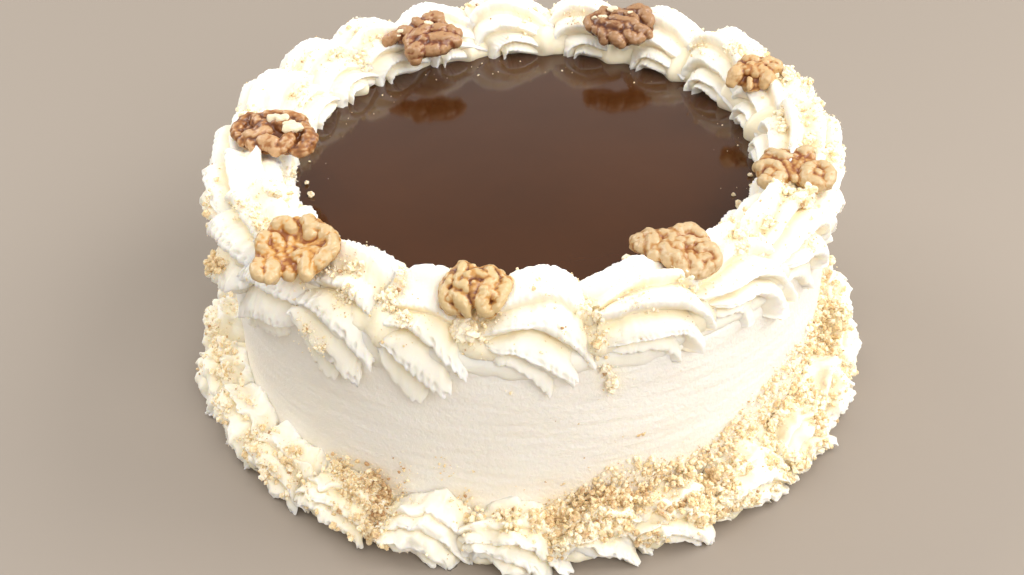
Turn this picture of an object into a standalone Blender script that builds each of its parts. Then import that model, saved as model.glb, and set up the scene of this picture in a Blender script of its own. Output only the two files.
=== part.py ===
"""Round cream-covered cake: a turned body, a dark glaze disc on top, a piped
border round the top edge and one round the foot, and eight walnut halves.
Metres, +Z up. The origin is on the cake's axis at the level it rests on."""

import math

import bmesh
import bpy
import numpy as np
from mathutils import Vector
from mathutils.bvhtree import BVHTree

# Driving dimensions in metres
BODY_RADIUS = 0.1265
BODY_HEIGHT = 0.0860
BODY_EDGE_ROUND = 0.0050
BODY_FOOT_FLARE = 0.0030
BODY_FOOT_FLARE_HEIGHT = 0.0240
BODY_SIDES = 48
GLAZE_RADIUS = 0.1040
GLAZE_THICKNESS = 0.0027
GLAZE_EDGE_ROUND = 0.0010
GLAZE_SIDES = 40
CUTTER_SIDES = 30
NODE_GAP = 0.0003

TOP_RING_RADIUS = 0.1120
TOP_PIVOT_HEIGHT = 0.0680
FOOT_RING_RADIUS = 0.1315
FOOT_PIVOT_HEIGHT = -0.0080
FOOT_SHELLS = 26
FOOT_FIRST_AZIMUTH = -106.2

SEED = 41
# Share of the triangles kept where joining the shells leaves many along seams
SEAM_KEEP = 0.56

# A piped shell is a fan of star sections about a level axis under the cream.
# Each ridge of the star is placed by how far outward and how far up it lies
# from that axis, in millimetres.
TOP_RIDGES = (
    (17.8, 10.5), (20.2, 20.5), (17.6, 31.0), (9.8, 39.6), (-1.6, 42.6),
    (-12.4, 37.4), (-18.8, 28.0), (-19.8, 19.0),
)
TOP_UNDERSIDE = ((-9.0, 12.5), (7.0, 7.0))
FOOT_RIDGES = ((15.2, 9.6), (15.4, 18.4), (9.8, 26.8), (0.6, 30.6), (-9.0, 26.4))
FOOT_UNDERSIDE = ((-8.0, 10.0), (8.0, 4.6))

# Where each ridge of the fan starts and ends, in degrees above the level
# through its axis on the blunt side: the outer blades fall lowest
TOP_STARTS = (30, 29, 34, 42, 48, 45, 40, 38)
TOP_ENDS = (116, 118, 122, 128, 132, 132, 130, 128)
FOOT_STARTS = (34, 33, 40, 48, 48)
FOOT_ENDS = (120, 122, 128, 132, 132)

# Middle azimuth in degrees, and the side (+1 counterclockwise) of the blunt end
TOP_SHELLS = (
    (-90, 1), (-72, 1), (-54, 1), (-36, 1), (-13, 1), (10, 1), (33, 1),
    (51, 1), (73, 1), (98, 1), (117, 1), (136, 1), (151, 1), (168, -1),
    (187, -1), (206, -1), (219, -1), (236, -1), (252, 1),
)

# Azimuth, ring radius, height, length, width, thickness (mm), turn, tilt
# outward and roll (degrees), and which face is up
WALNUTS = (
    (119.0, 93.0, 106.5, 36, 30, 15, 20, -22, 8, 1),
    (63.0, 99.0, 108.5, 33, 29, 15, -8, -20, 6, 1),
    (22.0, 108.0, 109.0, 28, 25, 14, 35, -12, -8, -1),
    (-20.5, 111.0, 108.5, 32, 28, 14, -60, 4, 6, -1),
    (-60.5, 104.5, 110.5, 34, 27, 14, 8, -14, 4, 1),
    (-99.0, 114.0, 106.5, 27, 26, 14, 92, 34, 0, 1),
    (-134.0, 116.0, 109.5, 33, 31, 14, 40, 10, 6, -1),
    (-177.0, 102.5, 109.0, 36, 30, 15, 30, -8, 4, 1),
)
WALNUT_RINGS = 7
WALNUT_SIDES = 13


def clear_scene():
    for old in list(bpy.data.objects):
        bpy.data.objects.remove(old, do_unlink=True)


def material(name, color, roughness):
    made = bpy.data.materials.new(name)
    made.use_nodes = True
    shader = made.node_tree.nodes["Principled BSDF"]
    shader.inputs["Base Color"].default_value = (*color, 1.0)
    shader.inputs["Roughness"].default_value = roughness
    return made


def mesh_object(name, points, faces, slot=None, smooth=True):
    mesh = bpy.data.meshes.new(name)
    mesh.from_pydata([tuple(map(float, p)) for p in points], [], faces)
    mesh.update()
    editing = bmesh.new()
    editing.from_mesh(mesh)
    bmesh.ops.triangulate(editing, faces=editing.faces)
    bmesh.ops.recalc_face_normals(editing, faces=editing.faces)
    editing.to_mesh(mesh)
    editing.free()
    if smooth:
        mesh.shade_smooth()
    made = bpy.data.objects.new(name, mesh)
    bpy.context.scene.collection.objects.link(made)
    if slot:
        mesh.materials.append(slot)
    return made


def turned(name, profile, sides, slot):
    """A solid of revolution; the profile starts and ends on the axis."""
    points, faces = [], []
    inner = profile[1:-1]
    points.append((0.0, 0.0, profile[0][1]))
    for radius, height in inner:
        for step in range(sides):
            angle = 2 * math.pi * step / sides
            points.append((radius * math.cos(angle), radius * math.sin(angle), height))
    points.append((0.0, 0.0, profile[-1][1]))
    last = len(points) - 1
    for step in range(sides):
        after = (step + 1) % sides
        faces.append((0, 1 + after, 1 + step))
        for row in range(len(inner) - 1):
            a, b = 1 + row * sides, 1 + (row + 1) * sides
            faces.append((a + step, a + after, b + after, b + step))
        top = 1 + (len(inner) - 1) * sides
        faces.append((last, top + step, top + after))
    return mesh_object(name, points, faces, slot)


def body_profile(grow=0.0):
    top = BODY_HEIGHT + grow
    radius = BODY_RADIUS + grow
    flare = BODY_FOOT_FLARE
    foot_top = BODY_FOOT_FLARE_HEIGHT
    edge = BODY_EDGE_ROUND
    low = -3 * grow
    profile = [(0.0, low), (radius + flare, low)]
    for part in (0.45, 1.0):
        profile.append((radius + flare * (1 - part) ** 2, foot_top * part))
    for step in range(3):
        angle = step * math.pi / 4
        profile.append(
            (radius - edge + edge * math.cos(angle), top - edge + edge * math.sin(angle))
        )
    profile.append((0.0, top))
    return profile


def glaze_profile(grow=0.0):
    low = BODY_HEIGHT + NODE_GAP - 2 * grow
    top = BODY_HEIGHT + NODE_GAP + GLAZE_THICKNESS + grow
    radius = GLAZE_RADIUS + grow
    edge = GLAZE_EDGE_ROUND
    return [
        (0.0, low), (radius, low), (radius, top - edge),
        (radius - edge, top), (0.0, top),
    ]


def around_solid(name, profile):
    """The turned solid with few flat sides that lie outside the round one."""
    wider = 1 / math.cos(math.pi / CUTTER_SIDES)
    profile = [(radius * wider, height) for radius, height in profile]
    return turned(name, profile, CUTTER_SIDES, None)


def star_section(ridges, underside, starts, ends, depth, draw):
    """Closed loop of (outward, up, is_ridge, start, end): ridges and valleys."""
    middle_up = 0.5 * (ridges[0][1] + max(up for _, up in ridges))
    loop = []
    for index, (out, up) in enumerate(ridges):
        jitter = draw.uniform(-0.6, 0.6, 2)
        span = (starts[index], ends[index])
        loop.append((out + jitter[0], up + jitter[1], 1.0, *span))
        if index + 1 < len(ridges):
            following = ridges[index + 1]
            mid_out = 0.5 * (out + following[0])
            mid_up = 0.5 * (up + following[1])
            length = math.hypot(mid_out, mid_up - middle_up)
            keep = 1 - depth / length
            low = middle_up + (mid_up - middle_up) * keep
            begin = 0.5 * (starts[index] + starts[index + 1])
            finish = 0.5 * (ends[index] + ends[index + 1])
            loop.append((mid_out * keep, low, 0.0, begin, finish))
    for out, up in underside:
        loop.append((out, up, 0.5, 0.5 * (starts[0] + starts[-1]), ends[0]))
    return loop


def piped_shell(name, azimuth, side, ring_radius, pivot, loop, form):
    """Sweeps the star loop about a level axis, from the blunt end to the tail."""
    stations = form["stations"]
    points, faces = [], []
    count = len(loop)

    def place(out, up, turn, shrink):
        center_up = form["middle_up"]
        reach = (center_up + (up - center_up) * shrink) * form["size"]
        along = 0.001 * reach * math.cos(turn)
        height = 0.001 * reach * math.sin(turn)
        outward = 0.001 * out * shrink * form["size"] + form["yaw"] * along
        angle = math.radians(azimuth) + side * along / ring_radius
        radius = ring_radius + outward
        return (radius * math.cos(angle), radius * math.sin(angle), pivot + height)

    for station in range(stations):
        part = station / (stations - 1)
        shrink = 1.04 - form["taper"] * part ** 1.6 - 0.03 * (1 - part) ** 4
        for out, up, ridge, start, end in loop:
            reach_out = form["tip"] * ridge
            turn = math.radians(start + (end - start) * part + form["shift"])
            turn -= reach_out * max(0.0, 1 - 3.2 * part)
            turn += reach_out * 0.9 * max(0.0, 3.2 * part - 2.2)
            points.append(place(out, up, turn, shrink))
    for row in range(stations - 1):
        for step in range(count):
            after = (step + 1) % count
            a, b = row * count, (row + 1) * count
            faces.append((a + step, a + after, b + after, b + step))
    first = math.radians(40 + form["shift"]) + form["recess"]
    final = math.radians(126 + form["shift"]) - form["recess"]
    for row, turn in ((0, first), (stations - 1, final)):
        middle = len(points)
        points.append(place(0.0, form["middle_up"], turn, 0.9))
        for step in range(count):
            face = (row * count + step, row * count + (step + 1) % count, middle)
            faces.append(face)
    return mesh_object(name, points, faces)


def top_shells(draw):
    shells = []
    for index, (azimuth, side) in enumerate(TOP_SHELLS):
        loop = star_section(
            TOP_RIDGES, TOP_UNDERSIDE, TOP_STARTS, TOP_ENDS, 5.6, draw
        )
        form = {
            "shift": draw.uniform(-3, 3),
            "stations": 6,
            "middle_up": 24.0,
            "size": 1.0 + draw.uniform(-0.03, 0.035),
            "yaw": draw.uniform(-0.02, 0.10),
            "taper": 0.20,
            "tip": math.radians(7.0),
            "recess": math.radians(17.0),
        }
        shells.append(
            piped_shell(
                f"top_shell_{index}", azimuth, side, TOP_RING_RADIUS,
                TOP_PIVOT_HEIGHT, loop, form,
            )
        )
    return shells


def foot_shells(draw):
    shells = []
    for index in range(FOOT_SHELLS):
        azimuth = FOOT_FIRST_AZIMUTH + 360.0 * index / FOOT_SHELLS + draw.uniform(-1, 1)
        loop = star_section(
            FOOT_RIDGES, FOOT_UNDERSIDE, FOOT_STARTS, FOOT_ENDS, 3.8, draw
        )
        form = {
            "shift": draw.uniform(-3, 3),
            "stations": 5,
            "middle_up": 17.0,
            "size": 1.0 + draw.uniform(-0.04, 0.04),
            "yaw": draw.uniform(-0.04, 0.12),
            "taper": 0.16,
            "tip": math.radians(7.0),
            "recess": math.radians(16.0),
        }
        shells.append(
            piped_shell(
                f"foot_shell_{index}", azimuth, 1, FOOT_RING_RADIUS,
                FOOT_PIVOT_HEIGHT, loop, form,
            )
        )
    return shells


def surface_of(shells):
    points, faces = [], []
    for shell in shells:
        start = len(points)
        points += [shell.matrix_world @ vertex.co for vertex in shell.data.vertices]
        faces += [tuple(start + i for i in face.vertices) for face in shell.data.polygons]
    return BVHTree.FromPolygons(points, faces)


def nut_chip(name, center, size, draw):
    """A small irregular chunk of chopped nut."""
    editing = bmesh.new()
    bmesh.ops.create_icosphere(editing, subdivisions=1, radius=1.0)
    stretch = Vector((1.0, draw.uniform(0.65, 0.9), draw.uniform(0.55, 0.8)))
    turn = Vector(draw.normal(size=3)).normalized().rotation_difference(Vector((0, 0, 1)))
    points = []
    for vertex in editing.verts:
        bump = draw.uniform(0.85, 1.1)
        local = Vector(a * b for a, b in zip(vertex.co, stretch)) * bump * size
        points.append(center + turn @ local)
    faces = [tuple(vertex.index for vertex in face.verts) for face in editing.faces]
    editing.free()
    return mesh_object(name, points, faces)


def chips_on(surface, spots, name, draw):
    """Chips half sunk where a ray from outside first meets the cream."""
    chips = []
    for index, (azimuth, radius, height, aim_radius, aim_height, size) in enumerate(spots):
        angle = math.radians(azimuth)
        axis = Vector((math.cos(angle), math.sin(angle), 0.0))
        origin = axis * radius + Vector((0, 0, height))
        aim = axis * aim_radius + Vector((0, 0, aim_height))
        hit = surface.ray_cast(origin, (aim - origin).normalized())[0]
        if hit is None:
            continue
        inward = (aim - origin).normalized()
        chips.append(nut_chip(f"{name}_{index}", hit + inward * size * 0.1, size, draw))
    return chips


def top_chip_spots(draw):
    spots = []
    for azimuth in (-79, -81, -99, -100.5, -118, -161, -163, -30, -3, 22, 43, 86, 128, 159):
        lift = draw.uniform(25, 110)
        slope = math.radians(lift)
        origin_radius = TOP_RING_RADIUS + 0.06 * math.cos(slope)
        origin_height = 0.092 + 0.06 * math.sin(slope)
        spots.append(
            (azimuth, origin_radius, origin_height, TOP_RING_RADIUS, 0.092,
             draw.uniform(0.0019, 0.0028))
        )
    return spots


def foot_chip_spots(draw):
    spots = []
    heavy = [-84 + 3.1 * step for step in range(30)]
    light = [18, 41, 66, 92, 120, 149, 171, 198, 214, 232, 239, 241]
    for azimuth in heavy + light:
        slope = math.radians(draw.uniform(18, 80))
        origin_radius = 0.131 + 0.05 * math.cos(slope)
        origin_height = 0.006 + 0.05 * math.sin(slope)
        spots.append(
            (azimuth + draw.uniform(-1.2, 1.2), origin_radius, origin_height, 0.131,
             0.006, draw.uniform(0.0019, 0.0030))
        )
    return spots


def walnut_lumps(length, width, thick, draw):
    """Centres and radii of the round folds that make one walnut half."""
    lumps = []
    half_long, half_wide = 0.5 * length, 0.5 * width
    for lobe in (-1, 1):
        for step in range(6):
            along = -0.78 + 1.56 * step / 5
            fold = 0.36 + 0.10 * math.cos(2.3 * along)
            center = (
                along * half_long * 0.72,
                lobe * half_wide * fold,
                0.34 * thick * (1.05 - 0.55 * along * along),
            )
            lumps.append((center, 0.30 * thick * (1.15 - 0.3 * abs(along))))
        for step in range(5):
            angle = math.radians(22 + 34 * step + draw.uniform(-7, 7))
            center = (
                half_long * 0.78 * math.cos(angle),
                lobe * (0.12 * width + half_wide * 0.56 * math.sin(angle)),
                0.20 * thick + draw.uniform(-0.04, 0.05) * thick,
            )
            lumps.append((center, thick * draw.uniform(0.21, 0.27)))
    for along in (-0.3, 0.05, 0.35):
        lumps.append(((along * half_long, 0.0, 0.16 * thick), 0.20 * thick))
    return lumps


def outermost(lumps, direction, center):
    """How far the lumps reach from the centre in one direction."""
    reach = 0.0
    for spot, radius in lumps:
        away = np.asarray(spot) - center
        along = float(away @ direction)
        miss = float(away @ away) - along * along
        if miss < radius * radius:
            reach = max(reach, along + math.sqrt(radius * radius - miss))
    return reach


def walnut_frame(spec):
    """Turns walnut-local millimetres into the cake's frame in metres."""
    azimuth, ring, height, _, _, _, turn, tilt, roll, face_up = spec
    angle = math.radians(azimuth)
    outward = np.array((math.cos(angle), math.sin(angle), 0.0))
    around = np.array((-math.sin(angle), math.cos(angle), 0.0))
    up = np.array((0.0, 0.0, 1.0))

    def spun(first, second, degrees):
        c, s = math.cos(math.radians(degrees)), math.sin(math.radians(degrees))
        return c * first + s * second, c * second - s * first

    long_axis, wide_axis = spun(around, outward, turn)
    up, outward_tilted = spun(up, outward, tilt)
    shift = outward_tilted - outward
    long_axis = long_axis + shift * float(long_axis @ outward)
    wide_axis = wide_axis + shift * float(wide_axis @ outward)
    long_axis /= np.linalg.norm(long_axis)
    up = up - long_axis * float(up @ long_axis)
    up /= np.linalg.norm(up)
    wide_axis = np.cross(up, long_axis)
    wide_axis, up = spun(wide_axis, up, roll)
    if face_up < 0:
        up, wide_axis = -up, -wide_axis
    origin = outward * 0.001 * ring + np.array((0.0, 0.0, 0.001 * height))
    return origin, long_axis, wide_axis, up


def walnut(index, spec, slot):
    draw = np.random.default_rng(SEED + 7 * index)
    length, width, thick = spec[3:6]
    lumps = walnut_lumps(length, width, thick, draw)
    middle = np.array((0.0, 0.0, 0.30 * thick))
    origin, long_axis, wide_axis, up = walnut_frame(spec)
    points, faces = [], []

    def place(direction):
        reach = outermost(lumps, direction, middle)
        local = middle + direction * max(reach, 0.22 * thick)
        local = 0.001 * (local - middle)
        return origin + local[0] * long_axis + local[1] * wide_axis + local[2] * up

    points.append(place(np.array((0.0, 0.0, -1.0))))
    for ring in range(1, WALNUT_RINGS):
        rise = -0.5 * math.pi + math.pi * ring / WALNUT_RINGS
        for step in range(WALNUT_SIDES):
            angle = 2 * math.pi * (step + 0.5 * (ring % 2)) / WALNUT_SIDES
            direction = np.array(
                (
                    math.cos(rise) * math.cos(angle),
                    math.cos(rise) * math.sin(angle),
                    math.sin(rise),
                )
            )
            points.append(place(direction))
    points.append(place(np.array((0.0, 0.0, 1.0))))
    last = len(points) - 1
    for step in range(WALNUT_SIDES):
        after = (step + 1) % WALNUT_SIDES
        faces.append((0, 1 + after, 1 + step))
        for row in range(WALNUT_RINGS - 2):
            a, b = 1 + row * WALNUT_SIDES, 1 + (row + 1) * WALNUT_SIDES
            faces.append((a + step, a + after, b + after, b + step))
        top = 1 + (WALNUT_RINGS - 2) * WALNUT_SIDES
        faces.append((last, top + step, top + after))
    return mesh_object(f"walnut_{index + 1}", points, faces, slot)


def nut_hollow(index, spec):
    """A plain egg shape that just clears one walnut half."""
    origin, long_axis, wide_axis, up = walnut_frame(spec)
    nut = walnut(index, spec, None)
    nut_points = [np.array(vertex.co) - origin for vertex in nut.data.vertices]
    bpy.data.objects.remove(nut, do_unlink=True)
    axes = np.stack([long_axis, wide_axis, up])
    local = np.array([axes @ point for point in nut_points])
    middle = 0.5 * (local.max(0) + local.min(0))
    half = 0.5 * (local.max(0) - local.min(0))
    fill = np.sqrt((((local - middle) / half) ** 2).sum(1)).max()
    sides = 10
    outside = fill / math.cos(math.pi / sides) ** 2
    half = half * outside + 2 * NODE_GAP
    points, faces = [], []
    rings = 5
    for ring in range(1, rings):
        rise = -0.5 * math.pi + math.pi * ring / rings
        for step in range(sides):
            angle = 2 * math.pi * (step + 0.5 * (ring % 2)) / sides
            unit = np.array(
                (
                    math.cos(rise) * math.cos(angle),
                    math.cos(rise) * math.sin(angle),
                    math.sin(rise),
                )
            )
            points.append(origin + axes.T @ (middle + unit * half))
    pole = np.array((0.0, 0.0, half[2]))
    points.append(origin + axes.T @ (middle - pole))
    points.append(origin + axes.T @ (middle + pole))
    low, high = len(points) - 2, len(points) - 1
    for step in range(sides):
        after = (step + 1) % sides
        faces.append((low, after, step))
        for row in range(rings - 2):
            a, b = row * sides, (row + 1) * sides
            faces.append((a + step, a + after, b + after, b + step))
        top = (rings - 2) * sides
        faces.append((high, top + step, top + after))
    return mesh_object(f"nut_hollow_{index}", points, faces)


def join_and_cut(name, pieces, cutters, slot):
    """Joins the pieces into one body, then clears it of its neighbours."""
    joined = pieces[0]
    joined.name = name
    joined.data.name = name
    group = bpy.data.collections.new(f"{name}_pieces")
    bpy.context.scene.collection.children.link(group)
    for piece in pieces[1:]:
        bpy.context.scene.collection.objects.unlink(piece)
        group.objects.link(piece)
    union = joined.modifiers.new("join", "BOOLEAN")
    union.operation = "UNION"
    union.operand_type = "COLLECTION"
    union.collection = group
    union.solver = "MANIFOLD"
    thin = joined.modifiers.new("thin", "DECIMATE")
    thin.ratio = SEAM_KEEP
    for index, cutter in enumerate(cutters):
        cut = joined.modifiers.new(f"clear_{index}", "BOOLEAN")
        cut.operation = "DIFFERENCE"
        cut.object = cutter
        cut.solver = "MANIFOLD"
    graph = bpy.context.evaluated_depsgraph_get()
    settled = bpy.data.meshes.new_from_object(joined.evaluated_get(graph))
    joined.modifiers.clear()
    joined.data = settled
    settled.name = name
    for piece in list(group.objects):
        bpy.data.objects.remove(piece, do_unlink=True)
    bpy.data.collections.remove(group)
    keep_largest(settled)
    settled.materials.clear()
    settled.materials.append(slot)
    settled.shade_smooth()
    return joined


def keep_largest(mesh):
    """Drops loose scraps that the cutting left."""
    editing = bmesh.new()
    editing.from_mesh(mesh)
    bmesh.ops.triangulate(editing, faces=editing.faces)
    seen, groups = set(), []
    for first in editing.verts:
        if first in seen:
            continue
        stack, group = [first], []
        seen.add(first)
        while stack:
            vertex = stack.pop()
            group.append(vertex)
            for edge in vertex.link_edges:
                other = edge.other_vert(vertex)
                if other not in seen:
                    seen.add(other)
                    stack.append(other)
        groups.append(group)
    groups.sort(key=len)
    for group in groups[:-1]:
        bmesh.ops.delete(editing, geom=group, context="VERTS")
    editing.to_mesh(mesh)
    editing.free()


def floor_block():
    points = [
        (x, y, z) for z in (-0.05, 0.0) for x, y in ((-0.2, -0.2), (0.2, -0.2), (0.2, 0.2), (-0.2, 0.2))
    ]
    faces = [(0, 3, 2, 1), (4, 5, 6, 7), (0, 1, 5, 4), (1, 2, 6, 5), (2, 3, 7, 6), (3, 0, 4, 7)]
    return mesh_object("floor_cut", points, faces, smooth=False)


def build():
    clear_scene()
    cream = material("cream", (0.89, 0.85, 0.72), 0.5)
    sponge = material("side_cream", (0.90, 0.87, 0.76), 0.55)
    glaze = material("glaze", (0.055, 0.022, 0.014), 0.12)
    nut = material("walnut", (0.52, 0.30, 0.13), 0.5)

    turned("cake_body", body_profile(), BODY_SIDES, sponge)
    turned("glaze_disc", glaze_profile(), GLAZE_SIDES, glaze)
    for index, spec in enumerate(WALNUTS):
        walnut(index, spec, nut)

    body_cut = around_solid("body_cut", body_profile(NODE_GAP))
    glaze_cut = around_solid("glaze_cut", glaze_profile(NODE_GAP))
    nut_cuts = [nut_hollow(index, spec) for index, spec in enumerate(WALNUTS)]
    floor_cut = floor_block()

    draw = np.random.default_rng(SEED)
    shells = top_shells(draw)
    chips = chips_on(surface_of(shells), top_chip_spots(draw), "top_chip", draw)
    join_and_cut("top_border", shells + chips, [body_cut, glaze_cut, *nut_cuts], cream)

    draw = np.random.default_rng(SEED + 1)
    shells = foot_shells(draw)
    chips = chips_on(surface_of(shells), foot_chip_spots(draw), "foot_chip", draw)
    join_and_cut("foot_border", shells + chips, [body_cut, floor_cut], cream)

    for cutter in [body_cut, glaze_cut, floor_cut, *nut_cuts]:
        bpy.data.objects.remove(cutter, do_unlink=True)


build()
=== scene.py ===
import math

import bmesh
import bpy
import numpy as np
from mathutils import Matrix, Vector
from mathutils.bvhtree import BVHTree


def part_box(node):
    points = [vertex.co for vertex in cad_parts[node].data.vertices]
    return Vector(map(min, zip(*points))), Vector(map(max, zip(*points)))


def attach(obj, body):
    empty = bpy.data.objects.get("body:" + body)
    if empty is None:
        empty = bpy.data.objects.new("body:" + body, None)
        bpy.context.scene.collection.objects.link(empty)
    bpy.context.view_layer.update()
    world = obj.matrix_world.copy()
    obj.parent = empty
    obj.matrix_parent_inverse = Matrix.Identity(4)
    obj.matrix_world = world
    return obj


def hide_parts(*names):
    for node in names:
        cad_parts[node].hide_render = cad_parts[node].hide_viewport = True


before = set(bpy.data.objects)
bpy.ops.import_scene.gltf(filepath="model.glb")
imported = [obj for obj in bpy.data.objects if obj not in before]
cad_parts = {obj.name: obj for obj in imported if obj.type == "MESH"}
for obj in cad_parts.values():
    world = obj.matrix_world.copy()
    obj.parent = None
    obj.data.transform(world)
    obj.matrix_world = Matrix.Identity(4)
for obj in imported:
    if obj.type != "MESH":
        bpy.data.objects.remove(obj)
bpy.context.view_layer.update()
print("frame loaded")

mm = 0.001
fullTurn = 2 * math.pi

view = {
    "photoSize": (1024, 575),
    "focalPixels": 1301.0,
    "sensorWidth": 36.0,
    "nearest": 0.01,
    "place": (0.0, -0.4657, 0.3777),
    "aim": (-0.0072, 0.0, 0.0235),
    "roll": -0.0322,
}


def newObject(name, data):
    made = bpy.data.objects.new(name, data)
    bpy.context.scene.collection.objects.link(made)
    return made


def photoAxes(values):
    # Right, up and back of the photo, as directions on the cake
    forward = (Vector(values["aim"]) - Vector(values["place"])).normalized()
    right = forward.cross(Vector((0, 0, 1))).normalized()
    up = right.cross(forward)
    c, s = math.cos(values["roll"]), math.sin(values["roll"])
    return c * right + s * up, c * up - s * right, -forward


def photoCamera(values):
    data = bpy.data.cameras.new("photoCamera")
    data.sensor_width = values["sensorWidth"]
    data.lens = values["focalPixels"] * data.sensor_width / values["photoSize"][0]
    data.clip_start = values["nearest"]
    camera = newObject("photoCamera", data)
    camera.matrix_world = Matrix.Translation(values["place"]) @ Matrix(photoAxes(values)).transposed().to_4x4()
    bpy.context.scene.camera = camera


photoCamera(view)
print("camera set")


def meshPiece(name, points, faces, material):
    # One mesh from arrays of corners, all triangles or all quads
    mesh = bpy.data.meshes.new(name)
    points = np.asarray(points, dtype=np.float32)
    faces = np.asarray(faces, dtype=np.int32)
    width = faces.shape[1]
    mesh.vertices.add(len(points))
    mesh.vertices.foreach_set("co", points.ravel())
    mesh.loops.add(len(faces) * width)
    mesh.loops.foreach_set("vertex_index", faces.ravel())
    mesh.polygons.add(len(faces))
    mesh.polygons.foreach_set("loop_start", np.arange(0, len(faces) * width, width, dtype=np.int32))
    mesh.update(calc_edges=True)
    mesh.validate()
    mesh.shade_smooth()
    mesh.materials.append(material)
    return newObject(name, mesh)


def storeMask(piece, name, values):
    layer = piece.data.attributes.new(name, "FLOAT", "POINT")
    layer.data.foreach_set("value", np.asarray(values, dtype=np.float32))


def dressNode(piece, nodes):
    if nodes:
        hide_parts(*nodes)
    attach(piece, "root")


def gridFaces(rows, columns, wrapRows=False):
    # Quads between the points of a grid whose columns close on themselves
    row, column = np.meshgrid(np.arange(rows if wrapRows else rows - 1), np.arange(columns), indexing="ij")
    after = (column + 1) % columns
    low, high = row * columns, (row + 1) % rows * columns
    return np.stack([low + column, low + after, high + after, high + column], -1).reshape(-1, 4)


def trianglesOf(quads):
    both = np.concatenate([quads[:, [0, 1, 2]], quads[:, [0, 2, 3]]])
    keep = (both[:, 0] != both[:, 1]) & (both[:, 1] != both[:, 2]) & (both[:, 0] != both[:, 2])
    return both[keep]


def joinMeshes(parts):
    points, faces, start = [], [], 0
    for partPoints, partFaces in parts:
        points.append(partPoints)
        faces.append(partFaces + start)
        start += len(partPoints)
    return np.concatenate(points), np.concatenate(faces)


def polar(radius, angle, height):
    return np.stack(np.broadcast_arrays(radius * np.cos(angle), radius * np.sin(angle), height), -1)


def fade(value, low, high):
    t = np.clip((np.asarray(value, dtype=float) - low) / (high - low), 0.0, 1.0)
    return t * t * (3 - 2 * t)


cellPrimes = (73856093, 19349663, 83492791)
seedPrime, mixPrime = 2654435761, 1274126177


def latticeValue(cells, seed):
    # A repeatable number from -1 to 1 for every whole-number cell
    mixed = seed * seedPrime
    for axis in range(3):
        mixed = mixed ^ (cells[..., axis] * cellPrimes[axis])
    mixed = (mixed ^ (mixed >> 13)) * mixPrime
    mixed = (mixed ^ (mixed >> 16)) & 0xFFFFFF
    return mixed / float(0x7FFFFF) - 1.0


def softNoise(points, size, seed):
    # Smooth lumps about size across, one value for each point
    spot = np.asarray(points, dtype=float) / size
    cell = np.floor(spot).astype(np.int64)
    part = spot - cell
    part = part * part * part * (part * (part * 6 - 15) + 10)
    sides = (1 - part, part)
    total = np.zeros(spot.shape[:-1])
    for x, y, z in np.ndindex(2, 2, 2):
        weight = sides[x][..., 0] * sides[y][..., 1] * sides[z][..., 2]
        total += weight * latticeValue(cell + np.array((x, y, z)), seed)
    return total


def noiseShift(points, size, seed):
    return np.stack([softNoise(points, size, seed + axis) for axis in range(3)], -1)


def newGroup(name, inputs, outputs):
    group = bpy.data.node_groups.new(name, "ShaderNodeTree")
    for label, kind, value in inputs:
        group.interface.new_socket(name=label, in_out="INPUT", socket_type="NodeSocket" + kind).default_value = value
    for label, kind in outputs:
        group.interface.new_socket(name=label, in_out="OUTPUT", socket_type="NodeSocket" + kind)
    return group, group.nodes.new("NodeGroupInput"), group.nodes.new("NodeGroupOutput")


def feed(tree, node, inputs):
    # Each input gets a value or the output that feeds it
    for label, value in inputs.items():
        if isinstance(value, bpy.types.NodeSocket):
            tree.links.new(value, node.inputs[label])
        else:
            node.inputs[label].default_value = value
    return node.outputs


def addNode(tree, kind, inputs):
    return feed(tree, tree.nodes.new("ShaderNode" + kind), inputs)


def placeGroup(tree, group, inputs):
    node = tree.nodes.new("ShaderNodeGroup")
    node.node_tree = group
    return feed(tree, node, inputs)


def mixColors(tree, factor, first, second):
    mix = tree.nodes.new("ShaderNodeMix")
    mix.data_type = "RGBA"
    return feed(tree, mix, {0: factor, 6: first, 7: second})[2]


def noiseField(tree, vector, scale, detail, roughness=0.55):
    inputs = {"Vector": vector, "Scale": scale, "Detail": detail, "Roughness": roughness}
    return addNode(tree, "TexNoise", inputs)["Fac"]


def remap(tree, value, low, high, outLow=0.0, outHigh=1.0):
    inputs = {"Value": value, "From Min": low, "From Max": high, "To Min": outLow, "To Max": outHigh}
    return addNode(tree, "MapRange", inputs)["Result"]


def mathStep(tree, operation, first, second, clamp=False):
    node = tree.nodes.new("ShaderNodeMath")
    node.operation = operation
    node.use_clamp = clamp
    return feed(tree, node, {0: first, 1: second})[0]


def objectPlace(tree):
    return addNode(tree, "TexCoord", {})["Object"]


def maskOf(tree, name):
    node = tree.nodes.new("ShaderNodeAttribute")
    node.attribute_name = name
    return node.outputs["Fac"]


def opaque(color):
    return (*color, 1)


def principled(name, inputs):
    material = bpy.data.materials.new(name)
    material.use_nodes = True
    shader = material.node_tree.nodes["Principled BSDF"]
    for label, value in inputs.items():
        shader.inputs[label].default_value = value
    return material, material.node_tree, shader


def bumpInto(tree, shader, height, strength, distance):
    bump = addNode(tree, "Bump", {"Height": height, "Strength": strength, "Distance": distance})
    tree.links.new(bump["Normal"], shader.inputs["Normal"])


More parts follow.
